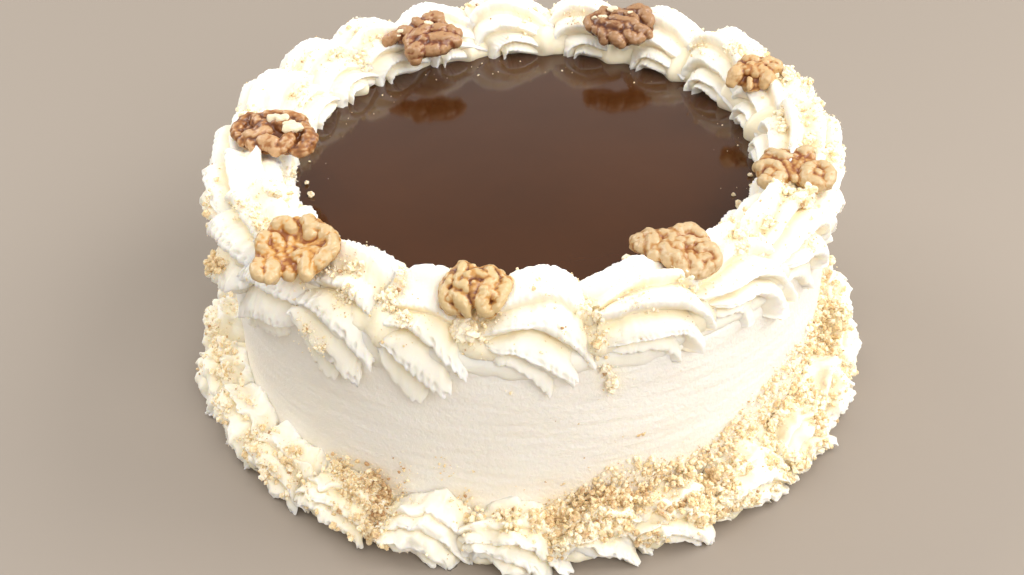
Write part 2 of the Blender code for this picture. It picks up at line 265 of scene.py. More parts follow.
def makeCreamTone():
    # Ivory cream: painted shade, warmer where the hollow mask is high, faint clouds of tone, and a fine whipped grain
    group, given, result = newGroup(
        "creamTone",
        [("Light", "Color", (1, 1, 1, 1)), ("Painted Shade", "Color", (1, 1, 1, 1)),
         ("Painted Shade Mask", "Float", 0.0), ("Grain Scale", "Float", 900.0)],
        [("Color", "Color"), ("Grain", "Float")],
    )
    where = objectPlace(group)
    clouds = remap(group, noiseField(group, where, 34.0, 3.0), 0.4, 0.75, 0.0, 0.22)
    # Faint clouds of tone, plus the painted shade of the hollow mask
    cloudsAndPaintedShade = mathStep(group, "ADD", clouds, given.outputs["Painted Shade Mask"], clamp=True)
    group.links.new(mixColors(group, cloudsAndPaintedShade, given.outputs["Light"], given.outputs["Painted Shade"]), result.inputs["Color"])
    group.links.new(noiseField(group, where, given.outputs["Grain Scale"], 4.0, 0.6), result.inputs["Grain"])
    return group


creamToneGroup = makeCreamTone()


def creamMaterial(name, values):
    material, tree, shader = principled(name, {
        "Roughness": 0.5, "Specular IOR Level": 0.35, "Subsurface Weight": values["glow"],
        "Subsurface Radius": (1.0, 0.78, 0.45), "Subsurface Scale": 0.004,
    })
    tone = placeGroup(tree, creamToneGroup, {
        "Light": opaque(values["light"]), "Painted Shade": opaque(values["hollow"]), "Painted Shade Mask": maskOf(tree, "hollow"),
        "Grain Scale": values["grainScale"],
    })
    tree.links.new(tone["Color"], shader.inputs["Base Color"])
    bumpInto(tree, shader, tone["Grain"], values["grainStrength"], 0.0005)
    return material


# What the shells of both rings share. Steps run from one blade line up to the next: a long face runs in to the
# hollow, under the thick lip of the next blade
shellForm = {
    "crestGap": 3,  # the gap on top, between the blades that face outward and those that face the glaze
    "outerSteps": (0.0, 0.05, 0.13, 0.26, 0.40, 0.52, 0.62, 0.70, 0.74, 0.77, 0.80, 0.86, 0.94),
    "crestSteps": (0.0, 0.1, 0.25, 0.45, 0.65, 0.85),
    "innerSteps": (0.0, 0.08, 0.16, 0.22, 0.26, 0.36, 0.58, 0.85),
    "hollowAt": 0.72,
    "lipAt": 0.79,
    "facePower": 2.0,
    "lipPower": 1.5,
    "headBend": 1.3,
    "tailBend": 1.7,
    "roundHeads": (1.8, 3.2),  # between these a head's line turns from a power into part of a circle
    "steepestPower": 2.4,
    "headPart": 0.22,
    "headDeepens": 0.35,
    "tailShallows": 0.4,
    "lipBulge": 0.10,
    "tipPower": 0.8,
    "middleOut": 6.0,
    "endRings": ((0.96, 0.06), (0.8, 0.45), (0.5, 0.8), (0.2, 1.0)),  # how wide, and how far along, the ends close
    "lumps": ((0.0010, 0.009, 60), (0.0005, 0.0035, 63)),  # depth, size and seed
}
toothForm = {
    "size": 1.7,
    "length": 2.5,
    "stray": (2.5, 5.0),  # how far they stray along the edge, and over what length that changes
    "outOfStep": 1.7,
    "notch": (0.45, 0.8, 4.0),  # depth, how much deeper some are, and over what length that changes
    "crumble": (0.5, 1.6),
    "level": 0.22,
    "reach": (0.8, 0.9, 0.5),  # all along a blade, more at its head, and more on all but its tail
    "backward": 0.7,
}
# Each blade of a shell runs from its head over a peak to its tail. A row holds how far out it lies from
# the ring, then (along the ring, up) in millimetres for head, peak and tail, and how round the head is
topPiping = {
    "ringRadius": 0.1120,
    "baseHeight": 0.0860,
    "blades": (
        (17.0, (3.0, -12.5), (-11.0, 2.5), (-19.0, 1.5), 1.2),
        (18.8, (12.0, -7.0), (-6.5, 9.5), (-20.0, 6.0), 1.3),
        (16.5, (17.5, -0.5), (-0.5, 19.5), (-23.0, 10.0), 1.9),
        (8.0, (19.0, 6.0), (1.0, 26.0), (-26.0, 13.0), 3.0),
        (-3.0, (19.0, 7.0), (0.0, 27.0), (-27.0, 13.0), 3.2),
        (-11.5, (16.5, 1.5), (-1.0, 18.5), (-26.0, 8.0), 3.4),
        (-16.5, (6.0, 2.0), (-6.0, 12.5), (-27.0, 5.0), 3.4),
        (-18.0, (0.0, 2.5), (-5.0, 7.5), (-19.0, 3.5), 3.0),
    ),
    "underside": ((-9.0, -4.0), (8.0, -14.0)),
    "gapDepth": (7.0, 7.5, 5.5, 3.0, 4.5, 6.5, 5.0),
    "core": (0.5, -8.0),  # the middle line lies at this part of the crest's height, and this much higher
    "tailPinch": 0.35,
    "sizeRange": (-0.03, 0.035),
    "bladeJitter": 1.0,
    "headRecess": 5.5,
    "lump": 0.7,
    "stations": 54,
    "seed": 41,
    "rope": (12.5, 12.0, -4.0),  # half width, height above and below the base of the cream between shells
    "meetAlong": 18.0,
    "swellLength": 0.0055,
    "swell": (4.5, 4.0),
}
# Shells: middle azimuth in degrees, the way their heads point, and what the photo shows otherwise: blades by
# number, depths of the gaps, or the size of the teeth against the others
topShells = (
    (-122.6, 1, {
        "teeth": 1.7, 0: (17, (-4.5, -22), (-18.5, -1), (-20, -2), -1.6),
        1: (18.8, (8.5, -16.5), (-17, 3), (-19, 3), -1.15), 2: (16.5, (14.6, -6.8), (-9, 9.5), (-17, 7.5), 1.5),
        3: (8, (15, -2), (0, 18), (-20, 11), 2.2),
    }),
    (-107, 1, {
        "teeth": 1.2, "gaps": (7, 7, 4, 1.5, 4.5, 6.5, 5), 0: (17, (-1, -20), (-14, 2.5), (-17, 2), -2.6),
        1: (18.8, (9.7, -13), (-9, 5), (-15, 4), 1.05), 2: (16.5, (16, -5.5), (0, 15.5), (-14, 10.5), 1.15),
        3: (8, (17, 2), (1, 19.5), (-16, 13), 2.6),
    }),
    (-88, 1, {
        "gaps": (7, 6.5, 3, 0.6, 4.5, 6.5, 5), 0: (17, (2.5, -13), (-10.5, 1.8), (-16, 1), 1.2),
        1: (18.8, (11.5, -7), (-7, 10), (-16.5, 9), 1.2), 2: (16.5, (17.5, -1.2), (0, 19.6), (-18.5, 12), 1.8),
        3: (8, (19, 6), (2, 27.5), (-20, 15), 3), 4: (-3, (19, 9), (2, 29), (-20, 17), 3.2),
    }),
    (-70.3, 1, {
        0: (17, (9.5, -8.8), (-6, 2.2), (-15, 2.6), 2.4), 1: (18.8, (15.5, -3.5), (-1, 9.2), (-18, 7), 2.8),
        2: (16.5, (21.2, 2.7), (-3, 24), (-17, 19.7), 2.1), 3: (8, (21, 10), (3, 28), (-15, 18.3), 2.6),
    }),
    (-52, 1, {
        0: (17, (-2.4, -4), (-9.3, 5.2), (-15, 4), 3.2), 1: (18.8, (15.2, -9.5), (-4.3, 11.3), (-14, 9.8), 2.6),
        2: (16.5, (25, -8), (-3, 17.5), (-17, 14.3), 2.2),
    }),
    (-34, 1, {"gaps": (7, 7.5, 6.5, 5, 5, 6.5, 5), 1: (18.8, (13, -8), (-5, 9), (-14, 8.5), 2.4)}),
    (-17, 1, {"gaps": (7, 7.5, 7, 6, 6, 6.5, 5)}), (0, 1, {"gaps": (7, 7.5, 6.5, 5, 5, 6.5, 5)}), (17, 1, {}),
    (36, 1, {}), (55.5, 1, {}), (75, 1, {}), (95.5, 1, {}), (113, 1, {}), (130, 1, {}), (145, 1, {}), (160.5, 1, {}),
    (178, -1, {}),
    (192, -1, {
        "teeth": 1.8, 0: (18, (3, -12.5), (-11, 2.5), (-19, 1.5), 1.2),
        1: (21.6, (12, -4), (-6.5, 9.5), (-20, 6), 1.3), 2: (19, (17.5, 2), (-0.5, 19.5), (-23, 10), 1.9),
    }),
    (207, -1, {
        "teeth": 1.8, 0: (19, (8, -19), (-3, -13), (-14, -6), 1.3), 1: (24, (14, -16), (-5, -6), (-17, 0), 1.4),
        2: (20, (13, 6), (0, 13), (-20, 9), 1.6), 3: (10, (17, 12), (2, 24), (-22, 14), 2.2),
    }),
    (221, -1, {
        "teeth": 1.8, 0: (18, (17, -25), (-2, -17), (-8, -14), 1.2), 1: (21, (17.5, -20), (-2, -7), (-18, -1.5), 1.5),
        2: (19.5, (14.5, 5), (2, 9), (-20, 8), 1.5), 3: (9, (16, 13), (0, 21), (-22, 14), 2),
    }),
)
footPiping = {
    "ringRadius": 0.1315,
    "baseHeight": 0.0,
    "blades": (
        (14.0, (-1.0, 0.3), (-14.0, 7.0), (-20.0, 6.0), 1.3),
        (15.8, (8.5, 0.6), (-9.0, 12.5), (-20.0, 9.0), 1.35),
        (13.5, (15.0, 1.5), (-4.0, 18.0), (-21.0, 12.0), 1.5),
        (6.5, (19.0, 4.0), (0.0, 22.5), (-22.0, 13.0), 1.8),
        (-4.0, (17.0, 7.0), (2.0, 21.0), (-21.0, 12.0), 2.2),
    ),
    "underside": ((-9.0, 4.0), (8.0, -3.0)),
    "gapDepth": (2.8, 3.6, 3.0, 1.6),
    "core": (0.35, 0.0),
    "tailPinch": 0.2,
    "sizeRange": (-0.05, 0.05),
    "bladeJitter": 1.3,
    "headRecess": 3.0,
    "lump": 2.6,
    "stations": 48,
    "seed": 42,
    "rope": (10.5, 11.0, -1.0),
    "meetAlong": 17.0,
    "swellLength": 0.005,
    "swell": (3.0, 3.0),
    "shells": 26,
    "firstAzimuth": -106.2,
    "placeSeed": 7,
    "ropePaintedShade": 0.85,
}


def hollowDepth(t):
    # From 0 at a blade's edge to 1 in the hollow, and back to 0 at the lip
    if t <= shellForm["hollowAt"]:
        return (t / shellForm["hollowAt"]) ** shellForm["facePower"]
    lipAt = shellForm["lipAt"]
    return max(0.0, (lipAt - t) / (lipAt - shellForm["hollowAt"])) ** shellForm["lipPower"]


def bladeLine(blade, stations):
    # Points along one free edge: steep at the head, gentle toward the tail
    out, head, peak, tail, roundness = blade
    part = np.linspace(0.0, 1.0, stations)
    front = part < 0.5
    x = 1 - (1 - np.clip(1 - part / 0.5, 0.0, 1.0)) ** shellForm["headBend"]
    y = np.clip(part / 0.5 - 1, 0.0, 1.0)
    circle = 1 - np.sqrt(np.maximum(0.0, 1 - x * x))
    blend = fade(roundness, *shellForm["roundHeads"])
    drop = x ** np.clip(roundness, 1.0, shellForm["steepestPower"]) * (1 - blend) + circle * blend
    if roundness < 0:
        drop = 1 - (1 - x) ** -roundness  # steep first, then level
    along = np.where(front, peak[0] + (head[0] - peak[0]) * x, peak[0] + (tail[0] - peak[0]) * y)
    fall = y ** shellForm["tailBend"]
    up = np.where(front, peak[1] + (head[1] - peak[1]) * drop, peak[1] + (tail[1] - peak[1]) * fall)
    return along, np.full(stations, float(out)), up


def ownBlades(blades, piping, draw):
    # Each shell's blades with small differences of their own
    changed = []
    for out, head, peak, tail, roundness in blades:
        shift = draw.uniform(-1, 1, 3) * piping["bladeJitter"]
        changed.append((out + 0.5 * shift[2], (head[0] + shift[0], head[1]),
                        (peak[0] + shift[0], peak[1] + 0.5 * shift[1]), (tail[0] + shift[0], tail[1]), roundness))
    return changed


def edgeSharpness(fromEdge, facing):
    # How far the teeth show: most on the lip and on the free edge
    if not facing:
        return 0.25
    fromLip = abs(fromEdge - shellForm["lipAt"])
    return max(0.2, 1 - fromLip / 0.06, 0.75 - fromEdge / 0.1, 0.4 * (fromEdge > shellForm["lipAt"]))


def pipedShell(azimuth, side, blades, gaps, piping, size, tooth, seed):
    stations, lipAt = piping["stations"], shellForm["lipAt"]
    part = np.linspace(0.0, 1.0, stations)
    toTail = np.clip(part / 0.5 - 1, 0, 1) ** 2
    atHead = 1 - fade(part, 0.0, shellForm["headPart"])
    lines = [bladeLine(blade, stations) for blade in blades]
    coreUp = piping["core"][0] * np.max([line[2] for line in lines], axis=0) + piping["core"][1]
    columns, edge, hollow, bladeOf = [], [], [], []

    def addColumn(along, out, up, sharp, deep, number):
        out = out + (shellForm["middleOut"] * np.sign(out) - out) * piping["tailPinch"] * toTail
        columns.append((along, out, up))
        edge.append(sharp)
        hollow.append(deep)
        bladeOf.append(number)

    for index in range(len(lines) - 1):
        facing = int(np.sign(index - shellForm["crestGap"]))
        for t in shellForm[("outerSteps", "crestSteps", "innerSteps")[facing + 1]]:
            mix = [a + (b - a) * t for a, b in zip(lines[index], lines[index + 1])]
            fromEdge = 1 - t if facing > 0 else t
            near = hollowDepth(fromEdge) if facing else math.sin(math.pi * t) ** 2
            lip = math.sin(math.pi * max(0.0, (fromEdge - lipAt) / (1 - lipAt))) if facing else 0.0
            deepness = 1 + shellForm["headDeepens"] * atHead - shellForm["tailShallows"] * toTail
            depth = gaps[index] * (deepness * near - shellForm["lipBulge"] * lip)
            awayOut, awayUp = mix[1], mix[2] - coreUp
            reach = 1 - depth / np.maximum(np.hypot(awayOut, awayUp), 1.0)
            back = piping["headRecess"] * atHead * near ** shellForm["tipPower"] * min(1.0, gaps[index] / 4.0)
            # Painted shade: the cream is drawn warmer deeper in each gap, and a little more under each lip
            deep = min(1.0, near * min(1.0, gaps[index] / 5.0) + 0.15 * (fromEdge < lipAt) * (facing != 0))
            number = index + (fromEdge > 0.7 if facing < 0 else facing > 0 and fromEdge < 0.7)
            sharp = edgeSharpness(fromEdge, facing)
            addColumn(mix[0] - back, mix[1] * reach, coreUp + awayUp * reach, sharp, deep, number)
    addColumn(*lines[-1], 0.4, 0.0, len(lines) - 1)
    # The underside columns get painted shade too
    for near, (out, up) in zip((lines[-1], lines[0]), piping["underside"]):
        addColumn(0.6 * near[0] - 3.0 * atHead, np.full(stations, out), 0.5 * near[2] + 0.5 * up, 0.0, 0.7, 0)
    along, out, up = (np.stack([column[axis] for column in columns], 1) for axis in range(3))
    edge, hollow = np.array(edge), np.array(hollow)

    # Small rounded teeth with notches between them along the free edges, larger near the head
    (stray, strayLength), (depth, deeper, depthLength) = toothForm["stray"], toothForm["notch"]
    (crumble, crumbleLength), (whole, head, front) = toothForm["crumble"], toothForm["reach"]
    bladeNumber = np.array(bladeOf)[None, :]
    where = np.stack([along, bladeNumber * 50.0 + seed * 7.0 + 0 * along, np.full_like(along, seed * 3.1)], -1)
    turns = math.pi * (along + stray * softNoise(where, strayLength, seed)) / toothForm["length"]
    turns = turns + toothForm["outOfStep"] * bladeNumber
    notch = (1 - np.abs(np.sin(turns))) * (depth + deeper * np.abs(softNoise(where, depthLength, seed + 1)))
    teeth = notch + crumble * np.abs(softNoise(where, crumbleLength, seed + 2)) - toothForm["level"]
    rough = tooth * (whole + head * atHead + front * (1 - fade(part, 0.4, 0.9)))[:, None]
    length = np.maximum(np.hypot(out, up - coreUp[:, None]), 1.0)
    reach = 1 - teeth * rough * edge[None, :] / length
    out, up = out * reach, coreUp[:, None] + (up - coreUp[:, None]) * reach
    along = along - toothForm["backward"] * teeth * rough * edge[None, :] * atHead[:, None]
    upSize = size if piping["baseHeight"] > 0 else 1.0  # the shells at the foot are all one height

    def place(alongValue, outValue, upValue):
        angle = math.radians(azimuth) + side * mm * alongValue * size / piping["ringRadius"]
        return polar(piping["ringRadius"] + mm * outValue * size, angle, piping["baseHeight"] + mm * upValue * upSize)

    count = len(edge)
    points = [place(along, out, up).reshape(-1, 3)]
    tones = [np.repeat(hollow[None, :], stations, 0).ravel()]
    faces = [gridFaces(stations, count)]
    total = stations * count
    ids = np.arange(count)
    after = (ids + 1) % count
    # The closed ends sit recessed: their rings and middle point get painted shade
    for row, sign, recess in ((0, 1, 1.3), (stations - 1, -1, 0.3)):
        rim = row * count
        deep = piping["headRecess"] * recess
        middle = along[row].mean()
        for pull, back in shellForm["endRings"]:
            ringAlong = middle + (along[row] - middle) * pull - sign * deep * back
            points.append(place(ringAlong, out[row] * pull, coreUp[row] + (up[row] - coreUp[row]) * pull))
            tones.append(np.full(count, 0.9))
            faces.append(np.stack([rim + ids, rim + after, total + after, total + ids], -1)[:, ::sign])
            rim, total = total, total + count
        points.append(place(np.array([middle - sign * deep]), np.array([0.0]), np.array([coreUp[row]])))
        tones.append(np.array([1.0]))
        tip = np.full(count, total)
        faces.append(np.stack([rim + ids, rim + after, tip, tip], -1)[:, ::sign])
        total += 1
    points = np.concatenate(points)
    for depth, lumpSize, lumpSeed in shellForm["lumps"]:
        points = points + depth * piping["lump"] * noiseShift(points, lumpSize, lumpSeed)
    faces = np.concatenate([trianglesOf(group) for group in faces])
    return points, faces[:, ::-1] if side > 0 else faces, np.concatenate(tones)


def pipedRing(piping, shells):
    draw = np.random.default_rng(piping["seed"])
    meshes, tones = [], []
    for index, (azimuth, side, own) in enumerate(shells):
        blades = ownBlades([own.get(number, blade) for number, blade in enumerate(piping["blades"])], piping, draw)
        size = 1.0 + draw.uniform(*piping["sizeRange"])
        gaps = own.get("gaps", piping["gapDepth"])
        tooth = toothForm["size"] * own.get("teeth", 1.0)
        *mesh, shellPaintedShade = pipedShell(azimuth, side, blades, gaps, piping, size, tooth, index)
        meshes.append(mesh)
        tones.append(shellPaintedShade)
    return *joinMeshes(meshes), np.concatenate(tones)


def ringTurns(around, count):
    turn = np.linspace(0, fullTurn, around, endpoint=False)[:, None]
    return turn, np.linspace(0, fullTurn, count, endpoint=False)[None, :]


ropeGrid = (540, 26)
ropeLumps = ((0.0016, 0.009, 80), (0.0008, 0.0035, 81))  # depth, size and seed


def creamRope(piping, shells):
    # The cream that fills the gaps between one shell and the next, and swells where they meet
    halfWidth, top, bottom = piping["rope"]
    turn, a = ringTurns(*ropeGrid)
    along = mm * piping["meetAlong"]
    meets = np.array([math.radians(azimuth) + side * along / piping["ringRadius"] for azimuth, side, _ in shells])
    apart = np.abs((turn - meets[None, :] + math.pi) % fullTurn - math.pi).min(1)[:, None] * piping["ringRadius"]
    swell = np.exp(-(apart / piping["swellLength"]) ** 2)
    halfWidth, top = halfWidth + piping["swell"][0] * swell, top + piping["swell"][1] * swell
    height = piping["baseHeight"] + mm * (0.5 * (top + bottom) + 0.5 * (top - bottom) * np.sin(a))
    points = polar(piping["ringRadius"] + mm * halfWidth * np.cos(a), turn, height)
    lumps = sum(depth * softNoise(points, size, seed) for depth, size, seed in ropeLumps)
    points = points + polar(np.cos(a), turn, np.sin(a)) * lumps[..., None]
    return points.reshape(-1, 3), trianglesOf(gridFaces(*ropeGrid, True))


collarShape = {
    "grid": (600, 18),
    "radius": 0.1245,
    "baseHeight": 0.0860,
    "high": 0.004,
    "low": -0.0080,
    "bulge": 0.0030,
    "uneven": 0.6,
    "frayed": 0.12,
    "short": 0.75,  # how much less it hangs between these azimuths, over which it fades in and out
    "shortFrom": (-74, -64),
    "shortTo": (-25, 0),
}


def collarBand(shape):
    # Cream pressed over the edge of the cake by the piping
    turn, a = ringTurns(*shape["grid"])
    ring = polar(0.125, turn, 0.0)[:, 0]
    uneven = shape["uneven"] * softNoise(ring, 0.022, 90) + shape["frayed"] * softNoise(ring, 0.006, 91)
    azimuth = np.degrees(turn[:, 0]) - 360
    short = fade(azimuth, *shape["shortFrom"]) * (1 - fade(azimuth, *shape["shortTo"]))
    hang = shape["low"] * (1 + uneven) * (1 - shape["short"] * short)
    bulge = shape["bulge"] * (1 + 0.25 * softNoise(ring, 0.015, 92))
    height = 0.5 * (shape["high"] + hang)[:, None] + 0.5 * (shape["high"] - hang)[:, None] * np.sin(a)
    points = polar(shape["radius"] + bulge[:, None] * np.cos(a), turn, shape["baseHeight"] + height)
    points = points + 0.0004 * noiseShift(points, 0.004, 93)
    return points.reshape(-1, 3), trianglesOf(gridFaces(*shape["grid"], True))


# The hollow colour is painted shade, laid where the hollow mask is high
pipedLook = {
    "light": (0.95, 0.92, 0.86), "hollow": (0.94, 0.825, 0.59), "glow": 0.4,
    "grainScale": 1500.0, "grainStrength": 0.25,
}
pipedCream = creamMaterial("pipedCream", pipedLook)

topPoints, topFaces, topPaintedShade = pipedRing(topPiping, topShells)
topBorder = meshPiece("topBorderCream", topPoints, topFaces, pipedCream)
dressNode(topBorder, ["top_border"])
print("top border piped:", len(topFaces), "triangles")

bandPaintedShade = (0.76, 0.31)  # painted shade: how warm the cream is drawn between the shells, and on the band below them
rope, collar = creamRope(topPiping, topShells), collarBand(collarShape)
bandPoints, bandFaces = joinMeshes([rope, collar])
creamBand = meshPiece("creamBand", bandPoints, bandFaces, pipedCream)
storeMask(creamBand, "hollow", np.repeat(bandPaintedShade, [len(rope[0]), len(collar[0])]))
dressNode(creamBand, [])
print("cream between the shells:", len(bandFaces), "triangles")

footDraw = np.random.default_rng(footPiping["placeSeed"])
footShells = [(footPiping["firstAzimuth"] + 360.0 * index / footPiping["shells"] + footDraw.uniform(-1, 1), 1, {})
              for index in range(footPiping["shells"])]
*footRing, footPaintedShade = pipedRing(footPiping, footShells)
rope = creamRope(footPiping, footShells)
footPoints, footFaces = joinMeshes([footRing, rope])
# The rope between the foot shells gets painted shade as well
footPaintedShade = np.concatenate([footPaintedShade, np.full(len(rope[0]), footPiping["ropePaintedShade"])])
footPoints[:, 2] = np.maximum(footPoints[:, 2], 0.0)
footBorder = meshPiece("footBorderCream", footPoints, footFaces, pipedCream)
dressNode(footBorder, ["foot_border"])
print("foot border piped:", len(footFaces), "triangles")

bodyShape = {
    "radius": 0.1265,
    "height": 0.0860,
    "edgeRound": 0.0050,
    "footFlare": 0.0030,
    "footFlareHeight": 0.0240,
    "around": 480,
    "upSteps": 84,
    "strokeDepth": 0.0005,
    "swept": 0.9,
    "streaked": 0.35,
}


def cakeSide(shape):
    wide = shape["radius"] + shape["footFlare"]
    profile = [(0.0, 0.0)] + [(wide * t, 0.0) for t in (0.3, 0.6, 0.9, 0.99)]
    straightTop = shape["height"] - shape["edgeRound"]
    for step in range(shape["upSteps"]):
        height = straightTop * step / (shape["upSteps"] - 1)
        flare = max(0.0, 1 - height / shape["footFlareHeight"])
        profile.append((shape["radius"] + shape["footFlare"] * flare ** 2, height))
    for step in range(1, 6):
        angle = step * math.pi / 10
        profile.append((shape["radius"] - shape["edgeRound"] * (1 - math.cos(angle)),
                        straightTop + shape["edgeRound"] * math.sin(angle)))
    profile += [(shape["radius"] * t, shape["height"]) for t in (0.85, 0.7, 0.4, 0.1)]
    around = shape["around"]
    radius, height = (np.repeat(np.array(profile)[:, axis : axis + 1], around, 1) for axis in (0, 1))
    angle = np.repeat(np.linspace(0, fullTurn, around, endpoint=False)[None, :], len(profile), 0)
    wall = (height > 0.002) & (height < shape["height"] - 0.001) & (radius > shape["radius"] - 0.002)
    # Broad strokes and thinner streaks, both longer round the cake than they are tall
    swept = softNoise(polar(0.125, angle, height * 2.2), 0.035, 5)
    streak = softNoise(polar(0.125, angle, height * 8.0) + height[..., None], 0.016, 6)
    strokes = shape["swept"] * swept + shape["streaked"] * streak
    radius = radius + np.where(wall, shape["strokeDepth"] * strokes, 0.0)
    return polar(radius, angle, height).reshape(-1, 3), gridFaces(len(profile), around)


# The hollow colour is painted shade, laid where the hollow mask is high
spreadLook = {
    "light": (0.92, 0.88, 0.805), "hollow": (0.93, 0.83, 0.64), "glow": 0.25,
    "grainScale": 560.0, "grainStrength": 1.0,
}
sidePoints, sideFaces = cakeSide(bodyShape)
cakeSidePiece = meshPiece("spreadCreamSide", sidePoints, sideFaces, creamMaterial("spreadCream", spreadLook))
dressNode(cakeSidePiece, ["cake_body"])
print("side spread")

glazeFinish = {"color": (0.048, 0.0155, 0.0038), "lighter": 1.25, "roughness": 0.10, "shine": 0.54}


def glazeMaterial(values):
    material, tree, shader = principled("darkGlaze", {
        "Roughness": values["roughness"], "Specular IOR Level": values["shine"],
    })
    where = objectPlace(tree)
    clouds = remap(tree, noiseField(tree, where, 14.0, 4.0), 0.3, 0.7)
    lighter = opaque([c * values["lighter"] for c in values["color"]])
    tree.links.new(mixColors(tree, clouds, opaque(values["color"]), lighter), shader.inputs["Base Color"])
    bumpInto(tree, shader, noiseField(tree, where, 60.0, 3.0), 0.05, 0.0006)
    return material


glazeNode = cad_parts["glaze_disc"]
glazeNode.data.materials.clear()
glazeNode.data.materials.append(glazeMaterial(glazeFinish))
print("glaze poured")
